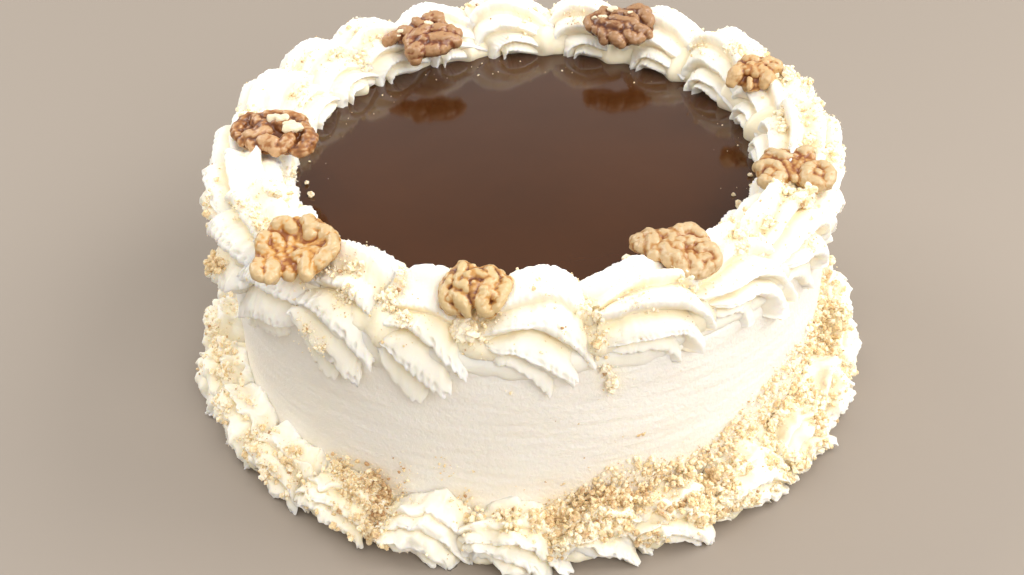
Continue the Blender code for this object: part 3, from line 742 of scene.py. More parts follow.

# Walnut halves, lengths in millimetres: where each sits (azimuth, distance from the axis, height, and how much
# nearer to the camera), how its face leans, its colours from pale to deep, which also serve as painted light on the
# bulges and painted shade in the creases, its pale bits as (right, up, size) in the photo's plane, and its folds as
# (tone, (right, up, radius), ...)
walnuts = (
    {
        "azimuth": 119, "ring": 93, "height": 106.5, "nearer": 0, "slope": 0.5, "skin": (0.225, 0.07, 0.022),
        "pale": (0.41, 0.225, 0.105), "deep": (0.08, 0.016, 0.004),
        "chips": ((-7.2, 9.2, 1.4), (2.5, 7.4, 1.8), (-11.5, 3.3, 1.3), (-12.3, 1, 0.8)),
        "folds": (
          (0, (-5.7, -3.5, 2.9), (-3.9, -7.5, 4.5), (-4.3, -10.7, 3.1)),
          (0, (-17.8, -1.2, 2.2), (-15.1, 1, 2.5), (-12.4, 2.4, 2)),
          (0, (-7.9, -1.2, 2.2), (-2.5, 1.5, 3.1), (0.7, 4.2, 2.3)),
          (0, (1.1, 10.5, 2.5), (5.2, 11.4, 3.1), (7.4, 8.7, 2.3)),
          (0, (-3.9, 9.6, 2), (-2.5, 7.4, 2.2), (-0.3, 6.9, 1.8)), (0, (-10.6, 4.2, 2.2), (-7, 2.8, 2.3)),
          (0, (5.6, 4.2, 2.5), (10.1, 4.2, 2.7), (15.5, 2.8, 2.5)),
          (0, (3.8, -1.2, 3.1), (9.2, -1.2, 3.4), (14.6, -1.2, 2.9)),
          (0, (2, -6.2, 2.7), (7.4, -5.9, 2.5), (11, -3.9, 2)), (0.5, (0.2, -2.1, 3.1), (-7, -0.3, 2.2)),
        ),
    },
    {
        "azimuth": 63, "ring": 99, "height": 108.5, "nearer": 0, "slope": 0.5, "skin": (0.19, 0.068, 0.019),
        "pale": (0.36, 0.195, 0.092), "deep": (0.075, 0.016, 0.005),
        "chips": ((-3.1, 6.8, 2.1), (-7.8, 2.7, 1.9), (-12.2, 2.1, 1.2), (5.2, 5, 0.9)),
        "folds": (
          (0, (-13.8, -1.7, 2.1), (-14.6, 1.5, 1.9), (-11.6, 3.6, 2.1), (-6.9, 5.5, 2.2)),
          (0, (-6.9, 7, 2.1), (-2.6, 5.8, 2.4), (1.6, 5.1, 2.1)),
          (0, (6.8, 6.4, 2.2), (10.2, 6.8, 3.3), (13.5, 3.4, 3.1), (14.5, 0, 2.1)),
          (0, (4.6, 4.1, 1.9), (7.6, 1.5, 2.2)), (0, (-3.5, 1.7, 2.2), (1.6, 0, 2.6), (6.8, -0.9, 2.6)),
          (0, (8.5, -3.4, 2.4), (12.8, -4.5, 2.2), (14.1, -6.4, 1.7)),
          (0.4, (-11.6, -3, 2.1), (-8.6, -6, 2.4), (-7.8, -9, 2.1)),
          (0, (-5.2, -5.6, 2.2), (-1.8, -8.6, 2.6), (0.8, -11.3, 1.9)),
          (0, (3.4, -6, 2.4), (6.8, -8.8, 2.6), (10.2, -8.2, 2.1)),
          (0.5, (-10.4, 0.4, 2.6), (-3.5, -2.6, 2.7), (3.4, -3, 2.2)),
        ),
    },
    {
        "azimuth": 22, "ring": 108, "height": 109, "nearer": 3, "slope": 0.45, "skin": (0.44, 0.2, 0.058),
        "pale": (0.57, 0.375, 0.18), "deep": (0.17, 0.047, 0.01), "chips": (),
        "folds": (
          (0, (-7.2, 0.4, 1.7), (-9.2, -3.1, 2.8), (-11.8, -7.4, 2.2)), (0.2, (-2.3, -0.3, 2), (-0.8, -3.5, 2)),
          (0.2, (-3.7, 3.7, 1.7), (0.1, 3, 1.8)), (0.2, (-3.9, -6.9, 1.1), (-3.7, -9.4, 1), (-4.2, -10.9, 0.8)),
          (0, (1.8, -2.1, 2.2), (4.1, -5.6, 3.2), (2.5, -8.7, 2.1)),
          (0, (3.6, 1.8, 1.8), (6.9, 2.3, 1.7), (10.4, 1.9, 1.7)), (0, (6.9, -1.4, 2), (10.8, -1.7, 1.7)),
          (0.7, (-4.4, -2.4, 2.1), (1.1, -0.3, 2.1)),
        ),
    },
    {
        "azimuth": -20.5, "ring": 111, "height": 108.5, "nearer": 3, "slope": 0.25, "hollow": 0.4, "fill": 10,
        "skin": (0.46, 0.235, 0.074), "pale": (0.545, 0.395, 0.215), "deep": (0.21, 0.058, 0.011), "chips": (),
        "folds": (
          (0, (-14.8, -0.3, 1.8), (-10.8, 0.5, 2.1), (-8, -2, 2.1), (-8, -5.8, 2.1), (-11, -8, 2.3),
           (-14.4, -6.7, 2.1)), (0.1, (-11.4, -3.7, 2)), (0, (-8.7, 6, 1.5), (-5.3, 4.5, 1.8), (-2.9, 3.9, 1.2)),
          (0, (3.7, 6, 1.8), (6.9, 7.3, 1.5)), (0.9, (0.1, 5, 0.7), (-1.2, 0.9, 0.8), (-2, -4, 0.9)),
          (0.7, (3, 4.3, 0.7), (1.3, 0.9, 0.8), (-0.8, -2.5, 0.8)),
          (0.7, (-4.6, 0.9, 1.5), (-3.5, -2.9, 1.4), (-2.3, -5.9, 1.5)),
          (0, (4.1, -1.4, 2.4), (2.8, -5.5, 2.7), (6.3, -8.6, 2.7)),
          (0, (6.9, 0.1, 1.8), (10.6, -0.3, 2), (12.4, -3.8, 2.1), (11.1, -7.6, 2)), (0.5, (7.5, -4.4, 2.3)),
        ),
    },
    {
        "azimuth": -60.5, "ring": 104.5, "height": 110.5, "nearer": 1.5, "slope": 0.2, "skin": (0.425, 0.215, 0.066),
        "pale": (0.55, 0.39, 0.21), "deep": (0.235, 0.07, 0.013), "chips": (),
        "folds": (
          (0, (-13.5, 0.8, 1.5), (-11.5, 2.5, 1.8), (-11.5, -1.3, 1.9), (-13.8, -1.3, 1.2)),
          (0.1, (-8.8, 3.2, 2.4), (-7.6, 0.1, 2.7), (-8.5, -2.8, 1.9)),
          (0, (-3.6, 3.2, 1.8), (-0.9, 2.9, 1.9), (-1.4, -0.1, 2.1)),
          (0, (2.6, 3.9, 2.2), (6.4, 5, 2.5), (9.8, 3.2, 2.2), (11.1, 1.3, 1.3)),
          (0, (2.1, -0.1, 1.8), (6.8, 0.5, 1.6), (10.8, 0.1, 1.2)),
          (0, (-7.3, -4.5, 2.2), (-4.6, -2.9, 2.4), (-1.8, -5.1, 2.7), (1, -8.3, 2.5), (2.5, -11.2, 1.9)),
          (0.8, (2.6, -4.4, 1.2), (5.5, -3.8, 1.3)),
          (0, (0.6, -3.3, 1.3), (4.7, -6, 1.6), (7.1, -8.9, 1.9), (5.5, -11.2, 1.5)),
          (0, (9.2, -2.5, 1.8), (12.3, -2.2, 2.1), (14.7, -4.5, 2.2), (14.7, -7.5, 1.9), (11.3, -9.2, 1.9),
           (8.8, -11.2, 1.6)), (0, (8.4, -5.9, 1.8), (11.4, -5.9, 1.8)), (0.2, (-3.5, -1, 2.1), (1, -2.2, 1.8)),
        ),
    },
    {
        "azimuth": -99, "ring": 114, "height": 106.5, "nearer": 5, "slope": 0.6,
        "splits": ((0, -1.5, 2), (0, -4.5, 2.6), (0, -7.5, 3.4)), "skin": (0.49, 0.24, 0.062),
        "pale": (0.59, 0.425, 0.21), "deep": (0.15, 0.04, 0.009), "chips": (),
        "folds": (
          (0, (-7.8, 0.6, 1.6), (-5.5, -1.5, 2.1), (-3.7, -4.9, 2), (-2.7, -7.2, 1.2)),
          (0, (-6.6, 4.1, 1.4), (-4.2, 3.2, 1.9), (-2.6, 1.6, 1.5)),
          (0, (-11.3, 0.7, 1.4), (-11, -2.4, 1.5), (-9.2, -4.9, 1.4), (-6.5, -5.8, 1.2)),
          (0, (-11.9, 2.3, 1), (-10, 4.4, 1.1), (-8.8, 5.8, 1)),
          (0, (4.3, 3.7, 1.9), (2.9, 0.6, 2.2), (2.1, -2.7, 2.2), (2.7, -5.6, 2), (4.8, -6.6, 1.2)),
          (0, (10.5, 4.7, 1.5), (9.9, 1.8, 1.9), (8.9, -1.3, 1.6), (7.3, -4.4, 1.4)),
          (0, (-4.7, 10, 1.4), (-5.2, 7.9, 1.2), (-6, 6.4, 1.1)),
          (0, (5.1, 8.5, 1.7), (5.8, 6.1, 1.6), (6.3, 4.4, 1.2)),
          (0.35, (-2.6, 6.6, 1.5), (0.1, 7.3, 1.7), (2.9, 6.1, 1.5)),
          (0.9, (-0.5, 3.2, 1.9), (-0.6, 0.1, 1.6), (-0.3, -3, 1.1)), (0.5, (-8.5, -1.8, 1.5), (6.3, 0.1, 1.5)),
        ),
    },
    {
        "azimuth": -134, "ring": 116, "height": 109.5, "nearer": 5, "slope": 0.3, "hollow": 0.9, "fill": 15,
        "skin": (0.545, 0.275, 0.07), "pale": (0.58, 0.415, 0.215), "deep": (0.265, 0.08, 0.014), "chips": (),
        "folds": (
          (0.1, (-9.1, 6.9, 2.2), (-6.2, 7.5, 2.5), (-4.5, 5.4, 2.2)),
          (0, (1.2, 8.2, 2), (3, 5.9, 2.5), (3.3, 2.7, 2.2)), (0, (7.1, 5.2, 1.7), (9.6, 4.4, 1.7), (8.4, 2.2, 1.7)),
          (0.3, (-14.1, 1.7, 2.3), (-14.5, -2, 2.2), (-12.3, -4.2, 2)), (0.4, (-9.8, 1.7, 2), (-8.9, -2.6, 1.8)),
          (0.5, (-4.6, 2.2, 0.7), (-3.6, -3.2, 1.1), (-4.1, -8.6, 1)),
          (0.5, (-3.3, 0.1, 0.7), (0.4, -2, 0.9), (3.7, -0.9, 0.8), (7.5, -0.6, 0.8)),
          (0.45, (0, -5.9, 3), (5.4, -4.5, 2.7)),
          (0.1, (11.8, 0.9, 2), (12.3, -2.2, 2.2), (10.1, -5, 2.3), (7.5, -8.2, 2)),
          (0, (3.3, -5, 2.3), (2.9, -9, 2.7), (3.3, -12.8, 2.2)),
          (0, (-10.3, -4.9, 1.7), (-9.9, -8.2, 2.2), (-8.9, -11.7, 2.5), (-9.8, -13.7, 1.8)),
          (0.1, (-14.4, -8.2, 2), (-14.6, -11.5, 2.2), (-13.1, -13.2, 1.7)),
          (0.5, (-6.6, -6.5, 2), (-7.5, -1.6, 1.7)),
        ),
    },
    {
        "azimuth": -177, "ring": 102.5, "height": 109, "nearer": 4, "slope": 0.3, "fill": 15,
        "skin": (0.36, 0.152, 0.048), "pale": (0.53, 0.32, 0.16), "deep": (0.135, 0.04, 0.01),
        "chips": ((1.6, 5.6, 2.6), (5.6, 5.4, 2.4), (10.3, 1.2, 3.4), (8.6, 3, 2.2)),
        "folds": (
          (0.9, (-10.6, 7.6, 2.1), (-13.1, 3.5, 2.4), (-14.5, -0.1, 2.2), (-12.8, -2.7, 1.7)),
          (0.8, (-7.5, 6.3, 2.1), (-4.9, 3.5, 2.2)),
          (0.8, (-2.8, 7.4, 1.9), (1.3, 8.1, 1.9), (6.5, 7.6, 1.7), (12, 6.3, 2.2)),
          (0.2, (-8.3, -1.7, 2.2), (-4.5, -2.3, 2.4), (-1.1, 0.1, 2.1)), (0.3, (-7.5, -6.1, 2.1), (-5.4, -7.8, 1.9)),
          (0.3, (-3.2, -5.1, 2.4), (1.5, -5.3, 2.9), (3.2, -8.7, 2.2)),
          (1, (1.3, 3.5, 2.4), (5.6, 3.1, 3.1), (8.9, -0.1, 2.8)),
          (0.9, (14, 1.8, 2.4), (16.4, -2.5, 2.8), (15.1, -7, 2.6), (11.6, -8.2, 2.1)),
          (0.5, (8.2, -4.4, 2.8), (6.5, -7.8, 2.2)), (0.9, (-2.1, 2.6, 2.1), (-11.6, -4.2, 1.7)),
        ),
    },
)


def smoothPath(corners, steps):
    # A smooth run through the corners, each (x, y, z, radius)
    corners = np.array(corners, dtype=float)
    if len(corners) == 1:
        return np.repeat(corners, 2, 0)
    ends = np.concatenate([2 * corners[:1] - corners[1:2], corners, 2 * corners[-1:] - corners[-2:-1]])
    rows = []
    for index in range(len(corners) - 1):
        a, b, c, d = ends[index : index + 4]
        for t in np.arange(steps) / steps:
            bend = (2 * a - 5 * b + 4 * c - d) * t * t + (3 * b - a - 3 * c + d) * t ** 3
            rows.append(0.5 * (2 * b + (c - a) * t + bend))
    rows.append(corners[-1])
    return np.array(rows)


def foldMesh(path, sides):
    # One plump fold with round ends
    spots, radii = path[:, :3], path[:, 3]
    ahead = np.gradient(spots, axis=0) + 1e-9
    ahead /= np.linalg.norm(ahead, axis=1)[:, None]
    rounds = np.linspace(0, math.pi / 2, 5)[1:]
    bend = np.concatenate([-rounds[::-1], np.zeros(len(spots)), rounds])
    near = np.clip(np.arange(len(bend)) - len(rounds), 0, len(spots) - 1)
    heading = ahead[near]
    centers = spots[near] + heading * (radii[near] * np.sin(bend))[:, None]
    wide = np.maximum(radii[near] * np.cos(bend), 0.02)
    first = np.cross(heading, (0.31, 0.27, 0.91))  # any direction that no fold follows
    first /= np.linalg.norm(first, axis=1)[:, None]
    second = np.cross(heading, first)
    angle = np.linspace(0, fullTurn, sides, endpoint=False)[None, :, None]
    spread = first[:, None] * np.cos(angle) + second[:, None] * np.sin(angle)
    points = (centers[:, None] + spread * wide[:, None, None]).reshape(-1, 3)
    last = len(points) - sides
    around = np.arange(1, sides - 1)
    caps = [np.stack([0 * around, around + 1, around], -1), last + np.stack([0 * around, around, around + 1], -1)]
    return points, np.concatenate([trianglesOf(gridFaces(len(centers), sides)), *caps])


def mergedSkin(points, faces, voxel):
    # One skin round all the folds that run into each other
    data = bpy.data.meshes.new("folds")
    data.from_pydata(points.tolist(), [], faces.tolist())
    folds = newObject("folds", data)
    remesh = folds.modifiers.new("merge", "REMESH")
    remesh.mode = "VOXEL"
    remesh.voxel_size = voxel
    merged = folds.evaluated_get(bpy.context.evaluated_depsgraph_get()).to_mesh()
    merged.calc_loop_triangles()
    skinPoints = np.array([vert.co[:] for vert in merged.vertices])
    skinFaces = np.array([triangle.vertices[:] for triangle in merged.loop_triangles])
    bpy.data.objects.remove(folds)
    bpy.data.meshes.remove(data)
    return skinPoints, skinFaces


def eased(points, faces, rounds, strength=0.6):
    # Each point drawn toward the middle of its neighbours
    ends = np.concatenate([faces[:, [0, 1]], faces[:, [1, 2]], faces[:, [2, 0]]])
    count = np.maximum(np.bincount(ends[:, 0], minlength=len(points)), 1)[:, None]
    for _ in range(rounds):
        total = np.stack([np.bincount(ends[:, 0], points[ends[:, 1], axis], len(points)) for axis in range(3)], -1)
        points = points + strength * (total / count - points)
    return points


def skinNormals(points, faces):
    across = np.cross(points[faces[:, 1]] - points[faces[:, 0]], points[faces[:, 2]] - points[faces[:, 0]])
    normals = np.zeros_like(points)
    for corner in range(3):
        for axis in range(3):
            normals[:, axis] += np.bincount(faces[:, corner], across[:, axis], len(points))
    return normals / np.maximum(np.linalg.norm(normals, axis=1), 1e-12)[:, None]


nutForm = {
    "grow": 1.18,
    "spread": 0.95,
    "wander": (0.5, 2.6),  # how far the folds stray, and over what length
    "knobs": (0.12, 2.2),
    "dome": 2.4,
    "reachBeyond": 2.0,
    "coreDrop": 3.0,
    "coreSize": 2.5,
    "coreLength": 0.4,
    "coreSpacing": 1.9,
    # paintedCoreShade and paintedShadeAndLight: painted shade between the folds and in the creases, painted light on
    # the bulges
    "paintedCoreShade": 0.55,
    "fill": 8.0,
    "voxel": 0.46,
    "easing": 2,
    "lobes": (0.5, 3.0, 0.22),  # height, size, and what keeps the volume the same
    "wrinkles": (0.45, 1.3, 0.20),
    "pitRounds": 14,
    "paintedShadeAndLight": 3.4,
    "baseTone": 0.22,
    "chipEnds": ((-0.6, 0.0, 0.62), (0.6, 0.2, 0.56)),  # (right, up, radius) of a pale bit's ends, for its size
    "chipLift": 0.25,
    "largeChip": 2.0,  # from this size up they are smoother and flatter
    "chipShake": (0.22, 0.35),
    "chipFlat": (0.65, 0.2),
}


def nutCores(folds, form, drop, splits, fill):
    # Lumps behind the folds that fill the half between them, so that only the folds' backs stand up
    dots = np.concatenate([path[::3] for _, path in folds])[:, :3]
    first, second = np.triu_indices(len(dots), 1)
    close = np.linalg.norm(dots[first] - dots[second], axis=1) < fill
    middles = np.concatenate([dots, 0.5 * (dots[first] + dots[second])[close]])
    index = np.unique(np.round(middles[:, :2] / form["coreSpacing"]), axis=0, return_inverse=True)[1].reshape(-1)
    count = np.bincount(index)
    spots = np.stack([np.bincount(index, middles[:, axis]) / count for axis in range(3)], -1)
    spots = spots[[not any(np.linalg.norm(spot - split[:3]) < split[3] for split in splits) for spot in spots]] - drop
    ends = np.append(spots, np.full((len(spots), 1), form["coreSize"]), 1)
    return [np.array([end, end + (form["coreLength"], 0, 0, 0)]) for end in ends]


def walnutPiece(walnut, number, form):
    seed = 11 * number
    right, up, back = (np.array(axis) for axis in photoAxes(view))
    middle = polar(walnut["ring"], math.radians(walnut["azimuth"]), walnut["height"]) + walnut["nearer"] * back
    corners = np.array([corner for _, *fold in walnut["folds"] for corner in fold])
    low, high = corners[:, :2].min(0), corners[:, :2].max(0)
    flatMiddle, flatReach = 0.5 * (low + high), 0.5 * (high - low) + form["reachBeyond"]
    dome = form["dome"] * (1 - 2.0 * walnut.get("hollow", 0.0))

    def spot(u, v, r):
        away = ((u - flatMiddle[0]) / flatReach[0]) ** 2 + ((v - flatMiddle[1]) / flatReach[1]) ** 2
        rise = form["spread"] * walnut["slope"] * v + dome * max(0.0, 1 - away)
        toward = (rise - form["spread"] * (u * right[2] + v * up[2])) / back[2]
        return np.append(middle + form["spread"] * (u * right + v * up) + toward * back, r)

    folds = [(tone, smoothPath([spot(*corner) for corner in fold], 7)) for tone, *fold in walnut["folds"]]
    for tone, path in folds:
        path[:, :3] += form["wander"][0] * noiseShift(path[:, :3], form["wander"][1], seed)
        path[:, 3] *= form["grow"] * (1 + form["knobs"][0] * softNoise(path[:, :3], form["knobs"][1], seed + 5))
    splits = [spot(*split) for split in walnut.get("splits", ())]
    cores = nutCores(folds, form, form["coreDrop"] * back, splits, walnut.get("fill", form["fill"]))
    meshes = [foldMesh(path, 16) for _, path in folds] + [foldMesh(core, 10) for core in cores]
    points, faces = mergedSkin(*joinMeshes(meshes), form["voxel"])
    points = eased(points, faces, form["easing"])
    normals = skinNormals(points, faces)
    lumps = sum(height * (np.abs(softNoise(points, size, seed + step)) - level)
                for step, (height, size, level) in enumerate((form["lobes"], form["wrinkles"])))
    points = eased(points + normals * lumps[:, None], faces, 1)
    pit = (skinNormals(points, faces) * (eased(points, faces, form["pitRounds"]) - points)).sum(1)
    # Each point takes its fold's tone, the cores between the folds painted shade; then painted shade in the creases
    # and painted light on the bulges, from how far in or out the skin lies
    nearest, tones = np.full(len(points), 99.0), np.zeros(len(points))
    for tone, path in folds + [(form["paintedCoreShade"], core[:1]) for core in cores]:
        gap = (np.linalg.norm(points[:, None] - path[None, ::2, :3], axis=2) - path[None, ::2, 3]).min(1)
        tones = np.where(gap < nearest, tone, tones)
        nearest = np.minimum(gap, nearest)
    tones = np.clip(tones + form["baseTone"] + form["paintedShadeAndLight"] * pit, -0.2, 1.6)
    parts = [(points, faces)]
    skin = BVHTree.FromPolygons(points.tolist(), faces.tolist())
    for u, v, r in walnut["chips"]:
        ends = []
        for across, rise, wide in form["chipEnds"]:
            aside = (form["spread"] * u + across * r) * right + (form["spread"] * v + rise * r) * up
            landed = skin.ray_cast(Vector(middle + aside + 30 * back), Vector(-back))[0]
            if landed is not None:
                ends.append(np.append(np.array(landed) + form["chipLift"] * r * back, wide * r))
        if len(ends) < 2:
            continue
        small = r < form["largeChip"]
        chipPoints, chipFaces = foldMesh(smoothPath(ends, 3), 9)
        chipPoints = chipPoints + form["chipShake"][small] * r * noiseShift(chipPoints, 1.3, number)
        outward = ((chipPoints - chipPoints.mean(0)) @ back)[:, None] * back
        parts.append((chipPoints - form["chipFlat"][small] * outward, chipFaces))
    allPoints, allFaces = joinMeshes(parts)
    return mm * allPoints, allFaces, np.concatenate([tones, np.full(len(allPoints) - len(points), -1.0)])


def makeNutTone():
    # Nut skin: pale to deep brown along the mask, with fine veins and flecks. On the walnut halves the mask also holds
    # painted light on the bulges and painted shade in the creases
    group, given, result = newGroup(
        "nutTone",
        [("Pale", "Color", (1, 1, 1, 1)), ("Skin", "Color", (1, 1, 1, 1)), ("Deep", "Color", (0, 0, 0, 1)),
         ("Tone And Shade Mask", "Float", 0.0), ("Detail Size", "Float", 1.0)],
        [("Color", "Color"), ("Wrinkles", "Float")],
    )
    scaled = group.nodes.new("ShaderNodeVectorMath")
    scaled.operation = "SCALE"
    where = feed(group, scaled, {0: objectPlace(group), "Scale": given.outputs["Detail Size"]})["Vector"]
    blotch = remap(group, noiseField(group, where, 210.0, 4.0), 0.3, 0.7, -0.36, 0.38)
    veins = remap(group, noiseField(group, where, 700.0, 5.0, 0.65), 0.56, 0.75, 0.0, 0.35)
    depth = mathStep(group, "ADD", given.outputs["Tone And Shade Mask"], mathStep(group, "ADD", blotch, veins))
    color = mixColors(group, remap(group, depth, 0.0, 0.45), given.outputs["Pale"], given.outputs["Skin"])
    color = mixColors(group, remap(group, depth, 0.5, 1.35), color, given.outputs["Deep"])
    group.links.new(color, result.inputs["Color"])
    group.links.new(noiseField(group, where, 900.0, 5.0, 0.6), result.inputs["Wrinkles"])
    return group


nutToneGroup = makeNutTone()


def nutTone(tree, pale, skin, deep, detailSize):
    # The group in a material, fed by the mask, then the mask itself
    mask = maskOf(tree, "depth")
    inputs = {"Pale": opaque(pale), "Skin": opaque(skin), "Deep": opaque(deep)}
    return placeGroup(tree, nutToneGroup, {**inputs, "Tone And Shade Mask": mask, "Detail Size": detailSize}), mask


nutLook = {"roughness": 0.28, "shine": 0.5, "chip": (0.86, 0.74, 0.52)}


def nutMaterial(name, walnut, values):
    material, tree, shader = principled(name, {
        "Roughness": values["roughness"], "Specular IOR Level": values["shine"], "Subsurface Weight": 0.08,
        "Subsurface Radius": (1.0, 0.6, 0.3), "Subsurface Scale": 0.002,
    })
    tone, mask = nutTone(tree, walnut["pale"], walnut["skin"], walnut["deep"], 1.0)
    chip = remap(tree, mask, -0.6, -0.9)  # bits of pale kernel on the skin
    tree.links.new(mixColors(tree, chip, tone["Color"], opaque(values["chip"])), shader.inputs["Base Color"])
    bumpInto(tree, shader, tone["Wrinkles"], 0.25, 0.0004)
    return material


for number, walnut in enumerate(walnuts):
    nutPoints, nutFaces, nutDepth = walnutPiece(walnut, number, nutForm)
    label = str(number + 1)
    nut = meshPiece("walnutHalf" + label, nutPoints, nutFaces, nutMaterial("walnutSkin" + label, walnut, nutLook))
    storeMask(nut, "depth", nutDepth)
    dressNode(nut, ["walnut_" + label])
    print("walnut " + label + " set:", len(nutFaces), "triangles")

crumbLook = {
    "pale": (0.92, 0.83, 0.645), "tan": (0.77, 0.595, 0.345), "skin": (0.33, 0.155, 0.055), "roughness": 0.6,
    # glow: the colour of the painted glow
    "detailSize": 3.0, "glow": (1.0, 0.72, 0.38), "paintedGlowStrength": 0.07,
}


def crumbMaterial(values):
    # A faint painted glow: a warm self-lit colour that lifts the shade between the bits
    material, tree, shader = principled("choppedNut", {
        "Roughness": values["roughness"], "Emission Color": opaque(values["glow"]),
        "Emission Strength": values["paintedGlowStrength"], "Subsurface Weight": 0.35,
        "Subsurface Radius": (1.0, 0.7, 0.35), "Subsurface Scale": 0.0015,
    })
    tone, _ = nutTone(tree, values["pale"], values["tan"], values["skin"], values["detailSize"])
    tree.links.new(tone["Color"], shader.inputs["Base Color"])
    bumpInto(tree, shader, tone["Wrinkles"], 0.3, 0.0003)
    return material


def crumbForm(subdivisions):
    ball = bmesh.new()
    if subdivisions:
        bmesh.ops.create_icosphere(ball, subdivisions=subdivisions, radius=1.0)
    else:
        bmesh.ops.create_uvsphere(ball, u_segments=4, v_segments=2, radius=1.0)
    points = np.array([vert.co[:] for vert in ball.verts])
    faces = np.array([[vert.index for vert in face.verts] for face in ball.faces])
    ball.free()
    return points, faces


# Crumbs, lengths in metres. Sizes are (smallest, largest, power), and a higher power makes more small ones
crumbRules = {
    "sink": 0.15,
    "stretch": (0.55, 1.25),
    "uneven": 0.34,
    "tones": (-0.3, 1.3),
    "toneSpread": 0.22,
    "skinShare": 0.025,  # the part of the smaller bits that shows brown skin
    "skinBelow": 0.0020,
    "skinTone": 1.2,
    "rim": (0.138, 0.143),  # no piles from here outward, so that nothing hangs beside the foot
    "coarse": 0.0022,
    "fine": 0.0010,
    "seed": 77,
    "rayReach": 0.8,
}


def scatter(spots, normals, sizes, form, draw, rules):
    # Broken bits at true size, each turned and squashed its own way
    base, faces = form
    count = len(spots)
    turn = draw.normal(size=(count, 4))
    turn /= np.linalg.norm(turn, axis=1)[:, None]
    w, x, y, z = turn.T
    spin = np.stack([
        np.stack([1 - 2 * (y * y + z * z), 2 * (x * y - z * w), 2 * (x * z + y * w)], -1),
        np.stack([2 * (x * y + z * w), 1 - 2 * (x * x + z * z), 2 * (y * z - x * w)], -1),
        np.stack([2 * (x * z - y * w), 2 * (y * z + x * w), 1 - 2 * (x * x + y * y)], -1),
    ], 1)
    stretch = draw.uniform(*rules["stretch"], (count, 1, 3))
    shape = base[None] * (1 + draw.uniform(-rules["uneven"], rules["uneven"], (count, len(base), 1))) * stretch
    shape = np.einsum("nij,nkj->nki", spin, shape) * (0.5 * sizes)[:, None, None]
    points = spots[:, None] + shape + normals[:, None] * ((0.5 - rules["sink"]) * sizes)[:, None, None]
    allFaces = faces[None] + (np.arange(count) * len(base))[:, None, None]
    return points.reshape(-1, 3), allFaces.reshape(-1, 3)


creamParts = [(topPoints, topFaces), (bandPoints, bandFaces), (footPoints, footFaces)]
creamParts.append((sidePoints, trianglesOf(sideFaces)))
creamSurface = BVHTree.FromPolygons(*(part.tolist() for part in joinMeshes(creamParts)))


def landOnCream(starts, aims):
    spots, normals = [], []
    for start, aim in zip(starts, aims):
        spot, normal, _, _ = creamSurface.ray_cast(Vector(start), Vector(aim).normalized(), crumbRules["rayReach"])
        if spot is not None:
            normals.append(normal if normal.dot(Vector(aim)) < 0 else -normal)
            spots.append(spot)
    return np.array(spots).reshape(-1, 3), np.array(normals).reshape(-1, 3)


def aroundRing(azimuth, slope, ring):
    # Rays that come in on a ring of piping from outside, at a slope above the level
    a, b = np.radians(azimuth), np.radians(slope)
    away = polar(np.cos(b), a, np.sin(b))
    return polar(ring["radius"], a, ring["height"]) + away * 0.07, -away


crumbDraw = np.random.default_rng(crumbRules["seed"])
crumbPlaces = []  # (spots, normals, sizes, tones)


def addCrumbs(starts, aims, sizes, tone, pile=0.0):
    spots, normals = landOnCream(starts, aims)
    sizes = sizes[: len(spots)]
    atRim = fade(np.hypot(spots[:, 0], spots[:, 1]), *crumbRules["rim"])
    spots = spots + normals * ((1 - atRim) * pile * crumbDraw.uniform(0, 1, len(spots)) ** 2)[:, None]
    tone = tone if np.isscalar(tone) else tone[: len(spots)]
    tones = np.clip(crumbDraw.normal(tone, crumbRules["toneSpread"], len(spots)), *crumbRules["tones"])
    brown = crumbDraw.uniform(size=len(spots)) < crumbRules["skinShare"]
    tones[brown & (sizes < crumbRules["skinBelow"])] = crumbRules["skinTone"]
    crumbPlaces.append((spots, normals, sizes, tones))


def crumbSizes(count, small, large, power=2.2):
    return small + (large - small) * crumbDraw.uniform(0, 1, count) ** power


# Front right of the foot: a deep drift of chopped nut that climbs the side, as high in millimetres as its top
# says for each azimuth
footDrift = {
    "count": 12500,
    "azimuth": (-88, 24),
    "sizes": (0.0007, 0.0030),
    "ring": {"radius": 0.129, "height": 0.004},
    "slopes": (112, 8, 1.25),  # from the steepest down to the lowest, most of them steep
    "chance": 0.70,
    "clumping": 1.1,
    "barer": ((-0.5, 62, 20), (-0.3, -62, -40), (-0.45, -40, 10)),  # fewer low down, and toward the right
    "tone": 0.50,
    "toneClouds": 0.35,
    "paler": (0.4, -76, -45),
    "pile": 0.0028,
    "climb": {"count": 1500, "azimuth": (-86, 12), "sizes": (0.0007, 0.0026), "from": 0.018, "tone": 0.25,
              "pile": 0.0010},
    "top": (
        (-86, 12), (-84, 20), (-80, 27), (-77, 34), (-72, 36), (-65, 26), (-60, 26), (-54, 33), (-47, 40), (-38, 46),
        (-28, 46), (-20, 44), (0, 34), (20, 22),
    ),
}


def flatNoise(across, up, seed):
    return softNoise(np.stack([across, up, 0 * across], -1), 1.0, seed)


def drift(values):
    azimuth = crumbDraw.uniform(*values["azimuth"], values["count"])
    steepest, lowest, power = values["slopes"]
    slope = steepest - (steepest - lowest) * crumbDraw.uniform(0, 1, values["count"]) ** power
    clump = flatNoise(azimuth * 0.22, slope * 0.045, 9)
    chance = values["chance"] + values["clumping"] * clump
    for place, (less, low, high) in zip((slope, azimuth, azimuth), values["barer"]):
        chance = chance + less * fade(place, low, high)
    keep = crumbDraw.uniform(0, 1, values["count"]) < chance
    azimuth, slope = azimuth[keep], slope[keep]
    starts, aims = aroundRing(azimuth, slope, values["ring"])
    clouds = flatNoise(azimuth * 0.3, slope * 0.06, 12)
    less, low, high = values["paler"]
    tones = values["tone"] + values["toneClouds"] * clouds - less * fade(azimuth, low, high)
    addCrumbs(starts, aims, crumbSizes(len(azimuth), *values["sizes"]), tones, values["pile"])


